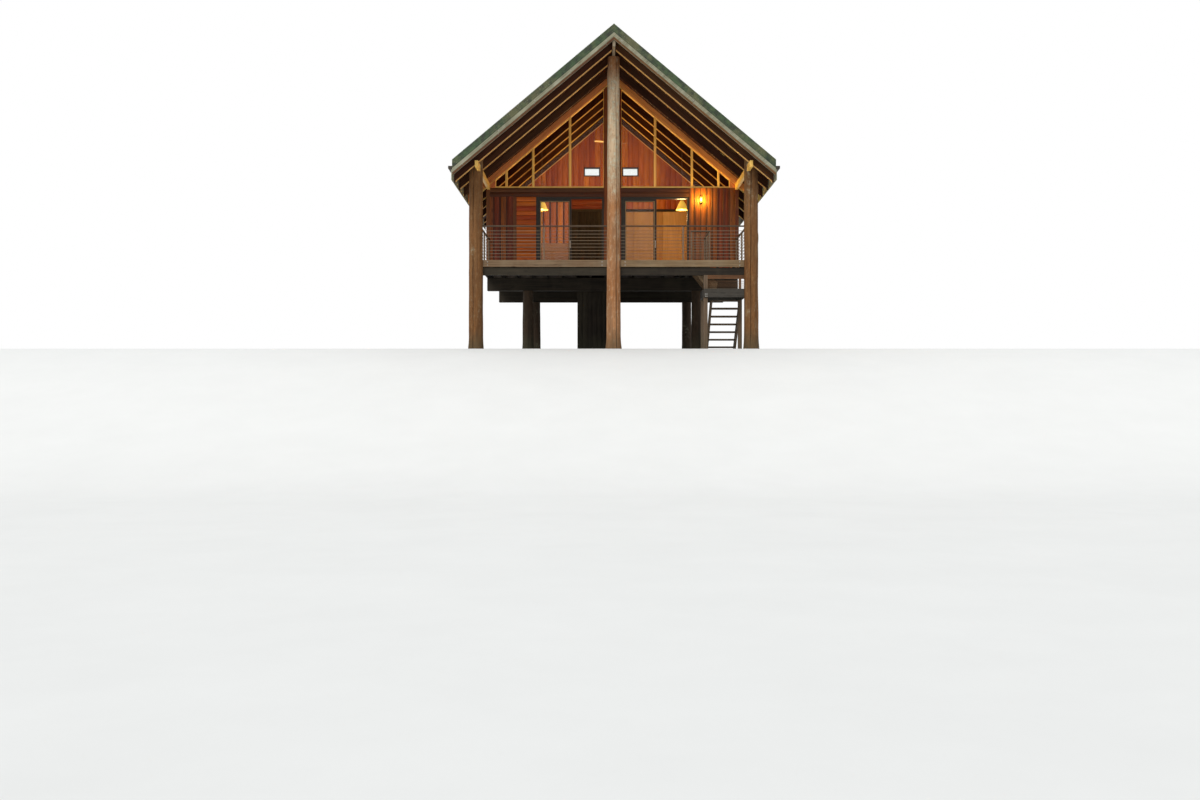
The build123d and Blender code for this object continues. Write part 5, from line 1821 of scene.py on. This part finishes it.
def fan_motor(centre, rise):
    """The motor's housing with its lid, the rod and the canopy under the ridge beam."""
    housing = [
        (0.0, 0.0), (0.095, 0.0), (0.108, 0.008), (0.11, 0.02), (0.11, 0.05), (0.105, 0.054), (0.105, 0.06),
        (0.11, 0.064), (0.108, 0.09), (0.098, 0.12), (0.075, 0.142), (0.045, 0.15), (0.02, 0.153),
        (0.02, 0.185), (0.0, 0.185),
    ]
    canopy = [
        (0.0, -0.06), (0.017, -0.06), (0.024, -0.05), (0.036, -0.028), (0.038, -0.002), (0.038, 0.0),
        (0.0, 0.0),
    ]
    canopy = [(radius, rise + level) for radius, level in canopy]
    rod = [(0.0, 0.18), (0.0125, 0.18), (0.0125, rise - 0.055), (0.0, rise - 0.055)]
    outlines = [(centre, housing), (centre, canopy), (centre, rod)]
    turned("fan_motor", outlines, "fan", 40, nodes=["fan_mount"])


def fan_rotor(centre):
    """Four blades with rounded tips on their irons, set at a slight pitch on a turned hub."""
    outline = [(0.15, -0.045), (0.32, -0.055), (0.55, -0.063)]
    for i in range(11):
        angle = math.pi * i / 10
        outline.append((0.565 + 0.053 * math.sin(angle), -0.063 * math.cos(angle)))
    outline += [(0.55, 0.063), (0.32, 0.055), (0.15, 0.045)]
    iron = [(0.06, -0.022), (0.12, -0.018), (0.16, -0.032), (0.2, -0.03)]
    iron += [(x, -y) for x, y in reversed(iron)]
    screws = [(0.172, -0.018, -0.0085), (0.172, 0.018, -0.0085), (0.188, 0.0, -0.0085)]
    blades, irons, points, facings = [], [], [], []
    middle = Matrix.Translation((centre[0], centre[1], centre[2] - 0.0223))
    for i in range(4):
        turn = Matrix.Rotation(math.radians(20 + 90 * i), 4, "Z") @ Matrix.Rotation(math.radians(12), 4, "X")
        place = middle @ turn
        for shape, levels, made in ((outline, (-0.004, 0.004), blades), (iron, (-0.0085, -0.004), irons)):
            corners, faces = prism_solid(shape, 2, *levels)
            made.append(([place @ Vector(corner) for corner in corners], faces))
        points += [place @ Vector(screw) for screw in screws]
        facings += [turn.to_3x3() @ Vector((0, 0, -1))] * len(screws)
    member("fan_blades", blades, "blade", 0.0015, 3, ["fan_rotor"], "fan")
    member("fan_irons", irons, "fan", 0.001, 3, body="fan")
    fixings("fan_screws", points, facings, 0.005, 0.003, "fan")
    hub = [
        (0.0, -0.044), (0.03, -0.044), (0.055, -0.04), (0.074, -0.03), (0.085, -0.012), (0.085, -0.0005),
        (0.0, -0.0005),
    ]
    turned("fan_hub", [(centre, hub)], "fan", 40, body="fan")


pendants()
wall_lamp()
low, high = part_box("fan_mount")
fan_at = (0.0, (low.y + high.y) / 2, low.z)
fan_motor(fan_at, high.z - low.z)
fan_rotor(fan_at)


# Fixings and small trims
def coach_bolts():
    """Bolt heads on the front fascia, the barge boards and the landing's beam."""
    points, facings = [], []
    fascia_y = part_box("front_fascias")[0].y
    for x in (-3.62, -0.33, 0.33, 3.62):
        points += [(x, fascia_y, FLOOR - 0.055), (x, fascia_y, FLOOR - 0.15)]
        facings += [(0, -1, 0)] * 2
    barge_low, barge_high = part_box("barge_boards")
    for x in (0.22, 1.2, 2.2, 3.2, 4.2):
        for off in (0.055, 0.15):
            level = BARGE_BASE + off - SLOPE * x
            for y, outward in ((barge_low.y, -1), (barge_high.y, 1)):
                points += [(-x, y, level), (x, y, level)]
                facings += [(0, outward, 0)] * 2
    landing_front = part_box("landing")[0].y
    points += [(x, landing_front, z) for z in (1.6, 1.54) for x in (2.64, 2.68)]
    facings += [(0, -1, 0)] * 4
    fixings("coach_bolts", points, facings, 0.016, 0.01)


def roof_screws():
    """Sheet screws on the crests of the roof's ribs."""
    points, facings = [], []
    base = CEILING_APEX + CEILING_THICK / math.cos(TILT)
    rows, first, step = 6, 0.42, 1.03
    crests, pitch, height = 46, 0.2, 0.14
    for side in (-1, 1):
        for row in range(rows):
            down = first + row * step
            x = down * math.cos(TILT) + height * math.sin(TILT)
            z = base - down * math.sin(TILT) + height * math.cos(TILT)
            points += [(side * x, (i - (crests - 1) / 2) * pitch, z) for i in range(crests)]
            facings += [(side * math.sin(TILT), 0, math.cos(TILT))] * crests
    fixings("roof_screws", points, facings, 0.011, 0.009)


def gutter_straps():
    """Flat straps across the gutters' mouths."""
    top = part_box("gutters")[1].z
    solids = []
    for side in (-1, 1):
        low_x, high_x = sorted((side * 4.502, side * 4.607))
        for i in range(11):
            y = -4.6 + 0.92 * i
            solids.append(box_solid((low_x, y - 0.012, top - 0.004), (high_x, y + 0.012, top)))
    member("gutter_straps", solids, "zinc", 0.001, 2)


def tread_strips():
    """Dark grips near the front edge of each tread of the lower flight."""
    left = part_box("lower_flight")[0].x + 0.05
    going, rise = 0.25, 0.22
    places = [(left, WALL_Y + 0.05 - going * i, rise * (i + 1) + 0.0008) for i in range(7)]
    runs = [(place, 0.8) for place in places]
    boards("tread_strips", runs, "gasket", LEVEL_ACROSS, 0.03, 0.002, 0.0005)


coach_bolts()
roof_screws()
gutter_straps()
tread_strips()
